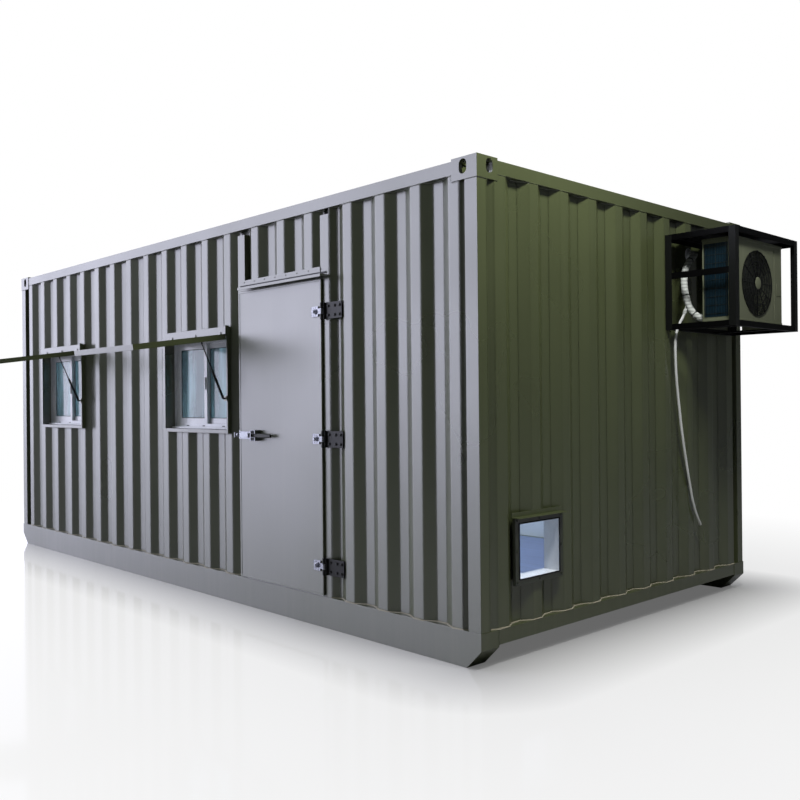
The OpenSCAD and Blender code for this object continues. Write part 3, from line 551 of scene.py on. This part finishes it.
def make_floor():
    """Polished pale floor, lit and shaded near the cabin, that goes to white further away."""
    material = bpy.data.materials.new("studio_floor")
    n = Nodes(material)
    surface = n.add("ShaderNodeBsdfPrincipled", {
        "Base Color": (0.29, 0.29, 0.29, 1), "Roughness": 0.08})
    glow = n.add("ShaderNodeEmission", {"Color": WHITE, "Strength": 1.0})
    place = n.axes()
    gap = n.add("ShaderNodeCombineXYZ")
    for axis, half in HALF_FOOTPRINT.items():
        past = n.maths("SUBTRACT", n.maths("ABSOLUTE", place[axis]), half)
        n.feed(gap.inputs[axis], n.maths("MAXIMUM", past, 0.0))
    away = n.vector_maths("LENGTH", gap.outputs["Vector"])
    near = n.ranged(away, 0.0, SHADE_REACH, 0.13, 0.79)
    far = n.ranged(away, SHADE_REACH, GREY_REACH, 0.0, 0.21)
    n.out(n.unless_seen(surface, glow, n.maths("ADD", near, far)))
    bpy.ops.mesh.primitive_plane_add(size=160, location=(0, MIDDLE_Y, 0))
    floor = bpy.context.object
    floor.name = "studio_floor"
    floor.data.materials.append(material)


# ---- Corner frame and walls ----

def low(node):
    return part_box(node)[0]


def high(node):
    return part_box(node)[1]


def mirrored(points, middle_y):
    """The same points on the opposite long side."""
    return [Vector((p[0], 2 * middle_y - p[1], p[2])) for p in points]


def outline(node, level, across, outward):
    """Outer edge of a corrugated sheet at its lowest or highest level, in order along the wall.

    across is the axis the wall runs along, and outward the sign of its outer side.
    """
    depth_axis = 1 - across
    edge = {}
    for vert in frame["nodes"][node].data.vertices:
        if abs(vert.co.z - level) > 0.001:
            continue
        key = round(vert.co[across], 4)
        value = vert.co[depth_axis] * outward
        if key not in edge or value > edge[key].co[depth_axis] * outward:
            edge[key] = vert
    return [edge[key].co.copy() for key in sorted(edge)]


def bead_along(bm, points, radius, step=0.05):
    """Weld bead through points: a tube whose thickness wavers a little along its length."""
    route = []
    for start, end in zip(points, points[1:]):
        count = max(1, int((end - start).length / step))
        route += [start.lerp(end, i / count) for i in range(count)]
    route.append(points[-1])
    wander = radius * 0.25
    add_tube(bm, [p + Vector((random.uniform(-wander, wander) for _ in range(3))) for p in route],
             radius, 6)


def wall_beads():
    """Painted weld bead at the head of every outer sheet, and a pale sealant line at its foot."""
    sheets = [
        ("front_skin_left", 0, -1), ("front_skin_right", 0, -1), ("front_skin_over_door", 0, -1),
        ("back_skin", 0, 1), ("right_end_skin", 1, 1), ("left_end_skin", 1, -1),
    ]

    def lines(bm, edge_of, radius):
        for node, across, outward in sheets:
            bead_along(bm, outline(node, edge_of(node).z, across, outward), radius)
    piece("head_beads", lambda bm: lines(bm, high, BEAD), "olive_paint")
    piece("foot_beads", lambda bm: lines(bm, low, FOOT_BEAD), "sealant")


def corner_beads():
    """Beads where the castings meet the posts, and where the sheets meet the posts."""
    post_low, post_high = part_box("corner_posts")
    middle = (post_low.y + post_high.y) / 2
    post_l, post_w = 0.085, 0.072
    sheet_inset = 0.038
    top = low("corner_castings").z
    foot = low("corner_posts").z
    end = post_high.x

    def build(bm):
        for side in (-1, 1):
            outer, inner = side * end, side * (end - post_l)
            front = post_low.y
            ring = [Vector((inner, front, top)), Vector((outer, front, top)),
                    Vector((outer, front + post_w, top))]
            for route in (ring, mirrored(ring, middle)):
                bead_along(bm, route, BEAD)
            for x, y in ((inner, front + sheet_inset), (outer, front + post_w)):
                line = [Vector((x, y, foot)), Vector((x, y, top))]
                for route in (line, mirrored(line, middle)):
                    bead_along(bm, route, BEAD * 0.8)
    piece("corner_beads", build, "olive_paint")


def base_beads():
    """Beads between the skids and the joists, and at the ends of the end sills."""
    sides = (high("skid_front").y, low("skid_back").y)
    joist_low, joist_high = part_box("floor_joists")
    sill_low, sill_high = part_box("end_sills")
    joist_edges = {round(vert.co.x, 3) for vert in frame["nodes"]["floor_joists"].data.vertices}
    lines = [(x, joist_low.z + 0.003, joist_high.z) for x in sorted(joist_edges)]
    lines += [(x, sill_low.z, sill_high.z) for x in (-sill_high.x, sill_high.x)]

    def build(bm):
        for x, z0, z1 in lines:
            for y in sides:
                bead_along(bm, [Vector((x, y, z0)), Vector((x, y, z1))], BEAD)
    piece("base_beads", build, "olive_paint")


# ---- Fasteners ----

def add_bolt(bm, at, axis, radius):
    """Hexagon head on a washer, standing on a face."""
    axis = Vector(axis)
    at = Vector(at)
    add_disc(bm, at, axis, radius * 1.45, radius * 0.22, 20)
    add_disc(bm, at + axis * radius * 0.22, axis, radius, radius * 0.75, 6, radius * 0.93)


def add_rivet(bm, at, axis, radius=0.005):
    """Low domed rivet head."""
    axis = Vector(axis)
    at = Vector(at)
    add_disc(bm, at, axis, radius, radius * 0.35, 14, radius * 0.8)
    add_disc(bm, at + axis * radius * 0.35, axis, radius * 0.8, radius * 0.25, 14, radius * 0.35)


def joint_at(name):
    """Pivot point of a joint."""
    return Vector(next(joint["pos_m"] for joint in frame["joints"] if joint["name"] == name))


# ---- Door ----

def add_frame(bm, low_corner, high_corner, band):
    """Upright rectangular ring, seen along Y, of the given band width."""
    x0, y0, z0 = low_corner
    x1, y1, z1 = high_corner
    add_box(bm, (x0, y0, z0), (x0 + band, y1, z1))
    add_box(bm, (x1 - band, y0, z0), (x1, y1, z1))
    add_box(bm, (x0 + band, y0, z1 - band), (x1 - band, y1, z1))
    add_box(bm, (x0 + band, y0, z0), (x1 - band, y1, z0 + band))


def door_seal_and_rim():
    """Rubber seal behind the leaf's flange, and the folded rim round its face."""
    lo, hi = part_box("door_leaf")
    wall_y = low("door_jambs").y
    inset = 0.003
    seal_front, seal_back, seal_band = 0.0048, 0.0006, 0.016
    rim_depth, rim_band = 0.0018, 0.013

    def seal(bm):
        corner = (lo.x + inset, wall_y - seal_front, lo.z + inset)
        far_corner = (hi.x - inset, wall_y - seal_back, hi.z - inset)
        add_frame(bm, corner, far_corner, seal_band)
    piece("door_seal", seal, "rubber", DOOR)

    def rim(bm):
        add_frame(bm, (lo.x, lo.y - rim_depth, lo.z), (hi.x, lo.y, hi.z), rim_band)
    piece("leaf_rim", rim, "olive_paint", DOOR, bevel=0.0008)


def hinge_fittings():
    """Pivot bolts and rivets on the hinge arms, bolts on the straps, and caps on the pins."""
    arms_low = low("hinge_arms")
    straps_low, straps_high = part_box("hinge_straps")
    axis_x, axis_y, middle = joint_at("door_swing")
    half = 0.05
    heights = (straps_low.z + half, middle, straps_high.z - half)
    strap_t = 0.008
    strap_y = low("door_jambs").y - strap_t
    pivot_dx, washer_t = 0.031, 0.003

    def arm_bolts(bm):
        for z in heights:
            centre = Vector((arms_low.x + pivot_dx, arms_low.y, z))
            add_disc(bm, centre, OUT, 0.0165, washer_t, 28, 0.0155)
            add_disc(bm, centre + Vector((0, -washer_t, 0)), OUT, 0.0105, 0.006, 6, 0.0098)
            for dx in (0.008, 0.054):
                for dz in (-0.022, 0.022):
                    add_rivet(bm, (arms_low.x + dx, arms_low.y, z + dz), OUT, 0.0045)
    piece("hinge_bolts", arm_bolts, "chrome", DOOR)

    def strap_bolts(bm):
        for z in heights:
            for x in (axis_x + 0.045, axis_x + 0.105, straps_high.x - 0.02):
                for dz in (-0.028, 0.028):
                    add_bolt(bm, (x, strap_y, z + dz), OUT, 0.0075)
            for way in (-1, 1):
                add_disc(bm, (axis_x, axis_y, z + way * half), (0, 0, way), 0.009, 0.004, 24, 0.005)
    piece("strap_bolts", strap_bolts, "black_paint")


def latch_fittings():
    """Latch cover, keeper knob, the black points round the lever's pivot, and its grip."""
    leaf = low("door_leaf")
    pivot = joint_at("lever_turn")
    case_x0, case_x1 = leaf.x + 0.048, pivot.x - 0.028
    case_y = leaf.y - 0.036
    cover_y, half_cover = case_y - 0.006, 0.017
    keeper_x, keeper_y = case_x0 - 0.030, leaf.y - 0.030
    z = pivot.z

    def cover(bm):
        add_box(bm, (case_x0 + 0.012, cover_y, z - half_cover), (case_x1 - 0.02, case_y, z + half_cover))
        add_disc(bm, (case_x1 - 0.034, cover_y, z), OUT, 0.014, 0.004, 32, 0.012)
        for x in (case_x0 + 0.007, case_x1 - 0.008):
            for dz in (-0.018, 0.018):
                add_rivet(bm, (x, case_y, z + dz), OUT, 0.004)
    piece("latch_cover", cover, "chrome", DOOR, bevel=0.0015)

    def knob(bm):
        add_disc(bm, (keeper_x, keeper_y, z), OUT, 0.013, 0.004, 28, 0.0125)
        add_disc(bm, (keeper_x, keeper_y - 0.004, z), OUT, 0.0125, 0.005, 28, 0.006)
    piece("keeper_knob", knob, "chrome", DOOR)

    def points(bm):
        front = leaf.y - 0.0475
        for way in (-1, 1):
            for lean in (-0.012, 0.0, 0.012):
                triangle = [(lean - 0.005, 0.0135), (lean + 0.005, 0.0135), (lean * 1.2, 0.034)]
                corners = [(pivot.x + dx, way * dz + z) for dx, dz in triangle]
                add_loft(bm, [(x, front, up) for x, up in corners],
                         [(x, front + 0.003, up) for x, up in corners])
    piece("latch_points", points, "black_paint", DOOR)

    def grip(bm):
        ends = []
        for x, half_y, half_z in ((pivot.x + 0.045, 0.0085, 0.0150),
                                  (high("latch_lever").x - 0.004, 0.0070, 0.0095)):
            ends.append([(x, pivot.y + y * half_y, z + up * half_z)
                         for y, up in ((-1, -1), (1, -1), (1, 1), (-1, 1))])
        add_loft(bm, *ends)
    piece("lever_grip", grip, "black_plastic", LEVER, bevel=0.004)


def hood_fittings():
    """Dark strip under the hood's flange, which is painted shadow, and rivets along the flange."""
    lo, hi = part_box("rain_hood")
    wall_y = low("door_jambs").y
    shelf_top = lo.z + 0.017

    # A dark rubber strip stands in for the shadow above the hood's lip: painted shadow.
    def seal(bm):
        add_box(bm, (lo.x + 0.004, wall_y - 0.0045, shelf_top + 0.010),
                (hi.x - 0.012, wall_y - 0.003, shelf_top + 0.021))
    piece("hood_shadow_strip", seal, "rubber")

    def rivets(bm):
        count = 8
        for i in range(count):
            x = lo.x + 0.05 + i * (hi.x - lo.x - 0.12) / (count - 1)
            add_rivet(bm, (x, wall_y - 0.003, hi.z - 0.014), OUT)
    piece("hood_rivets", rivets, "olive_paint")


# ---- Windows and shutters ----

def corner_box(points):
    """Lowest and highest corner of a set of points."""
    return (Vector((min(p[i] for p in points) for i in range(3))),
            Vector((max(p[i] for p in points) for i in range(3))))


def islands(node, gap=0.02):
    """Boxes of a node's separate solids along X, as (low, high) pairs from left to right."""
    mesh = frame["nodes"][node].data
    faces = [corner_box([mesh.vertices[i].co for i in face.vertices]) for face in mesh.polygons]
    spans = []
    for box in sorted(faces, key=lambda pair: pair[0].x):
        if spans and box[0].x <= spans[-1][1].x + gap:
            spans[-1] = corner_box([*spans[-1], *box])
        else:
            spans.append(box)
    return spans


def window_sill(name, lo, hi):
    """Sill shelf with a drip lip, and a narrow cover strip up the sides and over the top."""
    face = lo.y
    strip, strip_depth, inset = 0.010, 0.012, 0.001
    x0, x1, foot = lo.x + 2 * inset, hi.x - 2 * inset, lo.z + inset
    shelf_depth, shelf_t, lip_h, half_lip = 0.034, 0.008, 0.013, 0.002

    def build(bm):
        add_box(bm, (x0, face - shelf_depth, foot), (x1, face, foot + shelf_t))
        add_box(bm, (x0, face - shelf_depth - half_lip, foot),
                (x1, face - shelf_depth + half_lip, foot + lip_h))
        for x in (lo.x + inset, hi.x - strip + inset):
            add_box(bm, (x, face - strip_depth, lo.z + strip), (x + strip - 2 * inset, face, hi.z - inset))
        add_box(bm, (lo.x + inset, face - strip_depth, hi.z - strip), (hi.x - inset, face, hi.z - inset))
    piece(f"{name}_sill", build, "white_plastic", bevel=0.0015)


def window_drains(name, lo, hi):
    """Dark patches low in the frame for the drain slots: painted shade where the slots' openings are."""
    slot_l, slot_z0, slot_z1 = 0.035, lo.z + 0.018, lo.z + 0.024

    def build(bm):
        # Each slot is a thin black patch on the frame's face: painted shade for the opening.
        for x in (lo.x + 0.16, (lo.x + hi.x) / 2 - 0.04, hi.x - 0.20):
            add_box(bm, (x, lo.y - 0.0006, slot_z0), (x + slot_l, lo.y, slot_z1))
    piece(f"{name}_drains", build, "rubber")


def window_gaskets(name, lo, hi):
    """Rubber glazing gasket round the pane of each sash."""
    border, sash, lap = 0.038, 0.038, 0.020
    track_y, track_pitch = lo.y + 0.009, 0.024
    gasket_t, gasket_band = 0.002, 0.005
    middle = (lo.x + hi.x) / 2
    spans = ((lo.x + border, middle + lap), (middle - lap, hi.x - border))

    def build(bm):
        for number, (x0, x1) in enumerate(spans):
            y = track_y + number * track_pitch
            add_frame(bm, (x0 + sash, y, lo.z + border + sash),
                      (x1 - sash, y + gasket_t, hi.z - border - sash), gasket_band)
    piece(f"{name}_gaskets", build, "rubber")


def window_pulls(name, lo, hi):
    """Pull strips on the meeting stile and on the left stile."""
    pull_w, back = 0.012, lo.y + 0.003
    centre, left = (lo.x + hi.x) / 2 - 0.004, lo.x + 0.050
    z = (lo.z + hi.z) / 2

    def build(bm):
        for x, depth, half in ((centre, 0.007, 0.045), (left, 0.006, 0.035)):
            add_box(bm, (x, lo.y - depth, z - half), (x + pull_w, back, z + half))
    piece(f"{name}_pulls", build, "white_plastic", bevel=0.002)


def window_fittings():
    """Sill, drain slots, gaskets and pulls of every sliding window."""
    for number, (lo, hi) in enumerate(islands("window_frames")):
        name = f"window_{number + 1}"
        window_sill(name, lo, hi)
        window_drains(name, lo, hi)
        window_gaskets(name, lo, hi)
        window_pulls(name, lo, hi)


def shutter_fitting(name, shutter, surround):
    """Knuckles on one hinge bar, and a folded plate at the end of its surround."""
    lo, hi = shutter
    bar_y, bar_z = surround[0].y + 0.008, hi.z - 0.0085
    face_y = surround[0].y + 0.013
    skim = 0.0005

    def knuckles(bm):
        half_barrel, half_leaf = 0.035, 0.03
        for share in (0.12, 0.5, 0.88):
            x = lo.x + share * (hi.x - lo.x)
            add_disc(bm, (x - half_barrel, bar_y, bar_z), END_OUT, 0.0105, 2 * half_barrel, 20)
            add_box(bm, (x - half_leaf, bar_y, bar_z - 0.004),
                    (x + half_leaf, face_y - skim, bar_z + 0.026))
    piece(f"{name}_knuckles", knuckles, "olive_paint", bevel=0.001)

    def end_plate(bm):
        plate_t, fold = 0.004, 0.030
        side, head = surround[1].x, surround[1].z + 0.006
        add_box(bm, (side, face_y - 0.016, bar_z - 0.002), (side + plate_t, face_y + 0.012, head))
        add_box(bm, (side - fold, face_y - skim - plate_t, head - 0.026),
                (side + plate_t, face_y - skim, head))
    piece(f"{name}_end_plate", end_plate, "olive_paint", bevel=0.0008)


def shutter_fittings():
    """Fittings of both shutters, left one first."""
    shutters = [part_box(node) for node in ("shutter_left", "shutter_right")]
    for number, (shutter, surround) in enumerate(zip(shutters, islands("window_surrounds"))):
        shutter_fitting(f"shutter_{number + 1}", shutter, surround)


# ---- Cooling unit ----

def fan_guard():
    """Fine wire rings and spokes in front of the fan, with a plain domed cap."""
    lo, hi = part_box("unit_grille")
    _, fan_y, fan_z = joint_at("fan_spin")
    outer = (hi.z - lo.z) / 2 - 0.008
    cap, cap_t = 0.042, 0.003
    centre = Vector((lo.x + 0.004, fan_y, fan_z))
    rings, spokes = 16, 24
    ring_wire, spoke_wire, wire_sides = 0.0013, 0.0014, 5

    def wires(bm):
        for i in range(rings):
            radius = cap + (i + 1) * (outer - cap) / (rings + 1)
            add_tube(bm, ring_points(centre, END_OUT, radius, 56), ring_wire, wire_sides)
        for k in range(spokes):
            turn = 2 * math.pi * k / spokes
            way = Vector((0, math.cos(turn), math.sin(turn)))
            add_tube(bm, [centre + way * cap, centre + way * outer], spoke_wire, wire_sides)
    piece("fan_guard", wires, "black_plastic")

    def dome(bm):
        foot = hi.x - 0.001
        add_disc(bm, (foot, fan_y, fan_z), END_OUT, 0.040, cap_t, 40, 0.037)
        add_disc(bm, (foot + cap_t, fan_y, fan_z), END_OUT, 0.037, cap_t, 40, 0.022)
    piece("fan_cap", dome, "unit_paint", bevel=0.0008)


def unit_coil(lo, hi, base):
    """Finned coil on the unit's near side and back, with a wire guard on the near side."""
    back, front = lo.x + 0.010, hi.x - 0.055
    fin_depth, wire = 0.0018, 0.0014
    side_x = back + 0.012
    z0, z1 = base + 0.03, hi.z - 0.03
    rows, first_row = 9, base + 0.05
    row_pitch = (hi.z - base - 0.10) / (rows - 1)

    def fins(bm):
        add_box(bm, (side_x, lo.y - fin_depth, z0), (front, lo.y, z1))
        add_box(bm, (back - fin_depth, lo.y + 0.155, z0), (back, hi.y - 0.02, z1))
    piece("unit_coil", fins, "coil")

    def wires(bm):
        for i in range(rows):
            z = first_row + i * row_pitch
            add_tube(bm, [(side_x, lo.y - 0.004, z), (front, lo.y - 0.004, z)], wire, 5)
        for x in (back + 0.02, (back + front) / 2 + 0.006, front - 0.008):
            add_tube(bm, [(x, lo.y - 0.005, z0), (x, lo.y - 0.005, z1)], wire, 5)
    piece("coil_guard", wires, "black_plastic")


def unit_covers(lo, hi, base):
    """Overlapping lid and base tray, louvres on the far side, and a grip plate on the front."""
    back, front = lo.x + 0.010, hi.x - 0.010
    past, louvre_pitch, louvre_h = 0.003, 0.022, 0.009
    y0, y1 = lo.y - past, hi.y + past

    def build(bm):
        add_box(bm, (back - past, y0, hi.z - 0.014), (front + past, y1, hi.z + past))
        add_box(bm, (back - 0.002, y0, base - 0.001), (front + 0.002, y1, base + 0.016))
        for i in range(7):
            z = hi.z - 0.10 - i * louvre_pitch
            add_box(bm, (back + 0.06, hi.y, z), (front - 0.05, y1, z + louvre_h))
        add_box(bm, (front, hi.y - 0.080, base + 0.19), (front + 0.0025, hi.y - 0.012, base + 0.27))
    piece("unit_covers", build, "unit_paint", bevel=0.0015)


def unit_fasteners(lo, hi, base):
    """Screws round the front panel, and bolts through the feet."""
    front = hi.x - 0.010

    def screws(bm):
        for y in (lo.y + 0.014, lo.y + 0.25, hi.y - 0.25, hi.y - 0.014):
            for z in (base + 0.008, hi.z - 0.006):
                add_rivet(bm, (front + 0.0028, y, z), END_OUT, 0.0035)
    piece("unit_screws", screws, "chrome")

    def foot_bolts(bm):
        for y in (lo.y + 0.08, hi.y - 0.08):
            for x, shift in ((lo.x + 0.02, -0.02), (hi.x - 0.02, 0.02)):
                add_bolt(bm, (x, y + shift, lo.z - 0.0005), (0, 0, 1), 0.006)
    piece("unit_foot_bolts", foot_bolts, "chrome")


def unit_fittings():
    """Everything fixed to the outside of the cooling unit's casing."""
    lo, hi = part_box("unit_casing")
    base = lo.z + 0.023
    unit_coil(lo, hi, base)
    unit_covers(lo, hi, base)
    unit_fasteners(lo, hi, base)


def cage_fittings():
    """Beads in the cage's corners, and its bolts to the wall."""
    lo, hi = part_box("cage_posts")
    leg, leg_t = 0.045, 0.004
    half_bead = 0.016
    joints = [(x, y) for x in (lo.x, hi.x) for y in (lo.y + leg, hi.y - leg)]
    joints += [(x, y) for x in (lo.x + leg, hi.x - leg) for y in (lo.y, hi.y)]

    def beads(bm):
        for x, y in joints:
            for z in (lo.z + 0.018, hi.z - 0.018):
                bead_along(bm, [Vector((x, y, z - half_bead)), Vector((x, y, z + half_bead))], 0.002)
    piece("cage_beads", beads, "black_paint")

    def bolts(bm):
        for y in (lo.y + 0.025, hi.y - 0.025):
            for z in (lo.z + 0.08, (lo.z + hi.z) / 2, hi.z - 0.08):
                add_bolt(bm, (lo.x + leg_t, y, z), END_OUT, 0.007)
    piece("cage_bolts", bolts, "chrome")


# Middle line of the pipe pair, from where it leaves the wall to the back of the casing.
PIPE_BENDS = [
    (0, 0, 0), (0.025, 0, 0), (0.047, -0.011, -0.006), (0.057, -0.041, -0.022),
    (0.056, -0.083, -0.054), (0.055, -0.125, -0.096), (0.059, -0.159, -0.146),
    (0.067, -0.181, -0.204), (0.077, -0.190, -0.264), (0.091, -0.191, -0.324),
    (0.111, -0.189, -0.378), (0.139, -0.184, -0.418), (0.170, -0.178, -0.440),
    (0.202, -0.174, -0.446), (0.220, -0.174, -0.446),
]
PIPE_RADIUS = 0.022


def smoothed(points, steps=4):
    """Route on a smooth curve (Catmull-Rom) through the points, with some steps between each two."""
    points = [Vector(p) for p in points]
    route = []
    for i in range(len(points) - 1):
        before = points[max(i - 1, 0)]
        start, end = points[i], points[i + 1]
        after = points[min(i + 2, len(points) - 1)]
        for k in range(steps):
            t = k / steps
            route.append(0.5 * (
                2 * start + (end - before) * t
                + (2 * before - 5 * start + 4 * end - after) * t ** 2
                + (3 * start - before - 3 * end + after) * t ** 3))
    route.append(points[-1])
    return route


def add_wrap(bm, route, radius, turns):
    """Tape wound round a route: overlapping cuffs, each slightly narrower at its far end."""
    last = len(route) - 1
    half_cuff, taper = 0.016, 0.0014
    for turn in range(turns):
        i = round((turn + 0.5) * last / turns)
        ahead = (route[min(i + 1, last)] - route[max(i - 1, 0)]).normalized()
        add_disc(bm, route[i] - ahead * half_cuff, ahead, radius, 2 * half_cuff, 24, radius - taper)


def pipe_pair():
    """Two foam-covered pipes side by side in cloth tape, with a wall rose, a sleeve and ties."""
    bundle_high = high("pipe_bundle")
    bundle_radius = 0.023
    foot = Vector((
        high("right_end_skin").x, bundle_high.y - bundle_radius, bundle_high.z - bundle_radius))
    route = smoothed([foot + Vector(bend) for bend in PIPE_BENDS])
    apart, single_radius = 0.0085, PIPE_RADIUS - 0.008

    def build(bm):
        for offset in (-apart, apart):
            add_tube(bm, [p + Vector((0, offset * 0.4, offset)) for p in route], single_radius, 16)
        add_wrap(bm, route, PIPE_RADIUS, 30)
        sleeve = [foot + Vector(at) for at in ((0.095, -0.191, -0.361), (0.079, -0.203, -0.409))]
        add_tube(bm, sleeve, 0.0125, 16)
    pipes = piece("pipe_pair", build, "pipe_tape")
    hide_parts("pipe_bundle")

    def rose(bm):
        add_disc(bm, foot, END_OUT, 0.046, 0.006, 40, 0.042)
        add_disc(bm, foot + Vector((0.006, 0, 0)), END_OUT, 0.030, 0.008, 32, 0.025)
    piece("wall_rose", rose, "white_plastic", bevel=0.001)

    def ties(bm):
        half_tie = 0.003
        for share in (0.30, 0.62, 0.80):
            i = int(share * (len(route) - 1))
            ahead = (route[i + 1] - route[i - 1]).normalized()
            add_disc(bm, route[i] - ahead * half_tie, ahead, PIPE_RADIUS + 0.0012, 2 * half_tie, 28)
    piece("pipe_ties", ties, "black_plastic")


# ---- Cable port ----

def port_fittings():
    """White sleeve through the wall, rubber edging, and bolts on the frame."""
    lo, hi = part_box("port_frame")
    rim, thin = 0.030, 0.002
    y0, y1, z0, z1 = lo.y + rim, hi.y - rim, lo.z + rim, hi.z - rim
    x0, x1 = lo.x + thin, hi.x - 2 * thin
    y_bolts = (lo.y + rim / 2, (lo.y + hi.y) / 2, hi.y - rim / 2)
    z_bolts = (lo.z + rim / 2, (lo.z + hi.z) / 2, hi.z - rim / 2)

    def sleeve(bm):
        add_box(bm, (x0, y0, z0), (x1, y0 + thin, z1))
        add_box(bm, (x0, y1 - thin, z0), (x1, y1, z1))
        add_box(bm, (x0, y0 + thin, z0), (x1, y1 - thin, z0 + thin))
        add_box(bm, (x0, y0 + thin, z1 - thin), (x1, y1 - thin, z1))
    piece("port_sleeve", sleeve, "white_plastic")

    def edging(bm):
        ring = [Vector((hi.x, y, z)) for y, z in ((y0, z0), (y1, z0), (y1, z1), (y0, z1), (y0, z0))]
        for start, end in zip(ring, ring[1:]):
            add_tube(bm, [start, end], 0.004, 8)
    piece("port_edging", edging, "rubber")

    def bolts(bm):
        places = [(y, z) for y in y_bolts for z in (z_bolts[0], z_bolts[2])]
        places += [(y, z_bolts[1]) for y in (y_bolts[0], y_bolts[2])]
        for y, z in places:
            add_bolt(bm, (hi.x, y, z), END_OUT, 0.0055)
    piece("port_bolts", bolts, "olive_paint_dark")


# ---- Build ----

make_camera()
drain_hose()
dress_nodes()
wall_beads()
corner_beads()
base_beads()
door_seal_and_rim()
hinge_fittings()
latch_fittings()
hood_fittings()
window_fittings()
shutter_fittings()
fan_guard()
unit_fittings()
cage_fittings()
pipe_pair()
port_fittings()
make_world()
make_lights()
make_floor()

bpy.context.scene.view_settings.view_transform = "Standard"
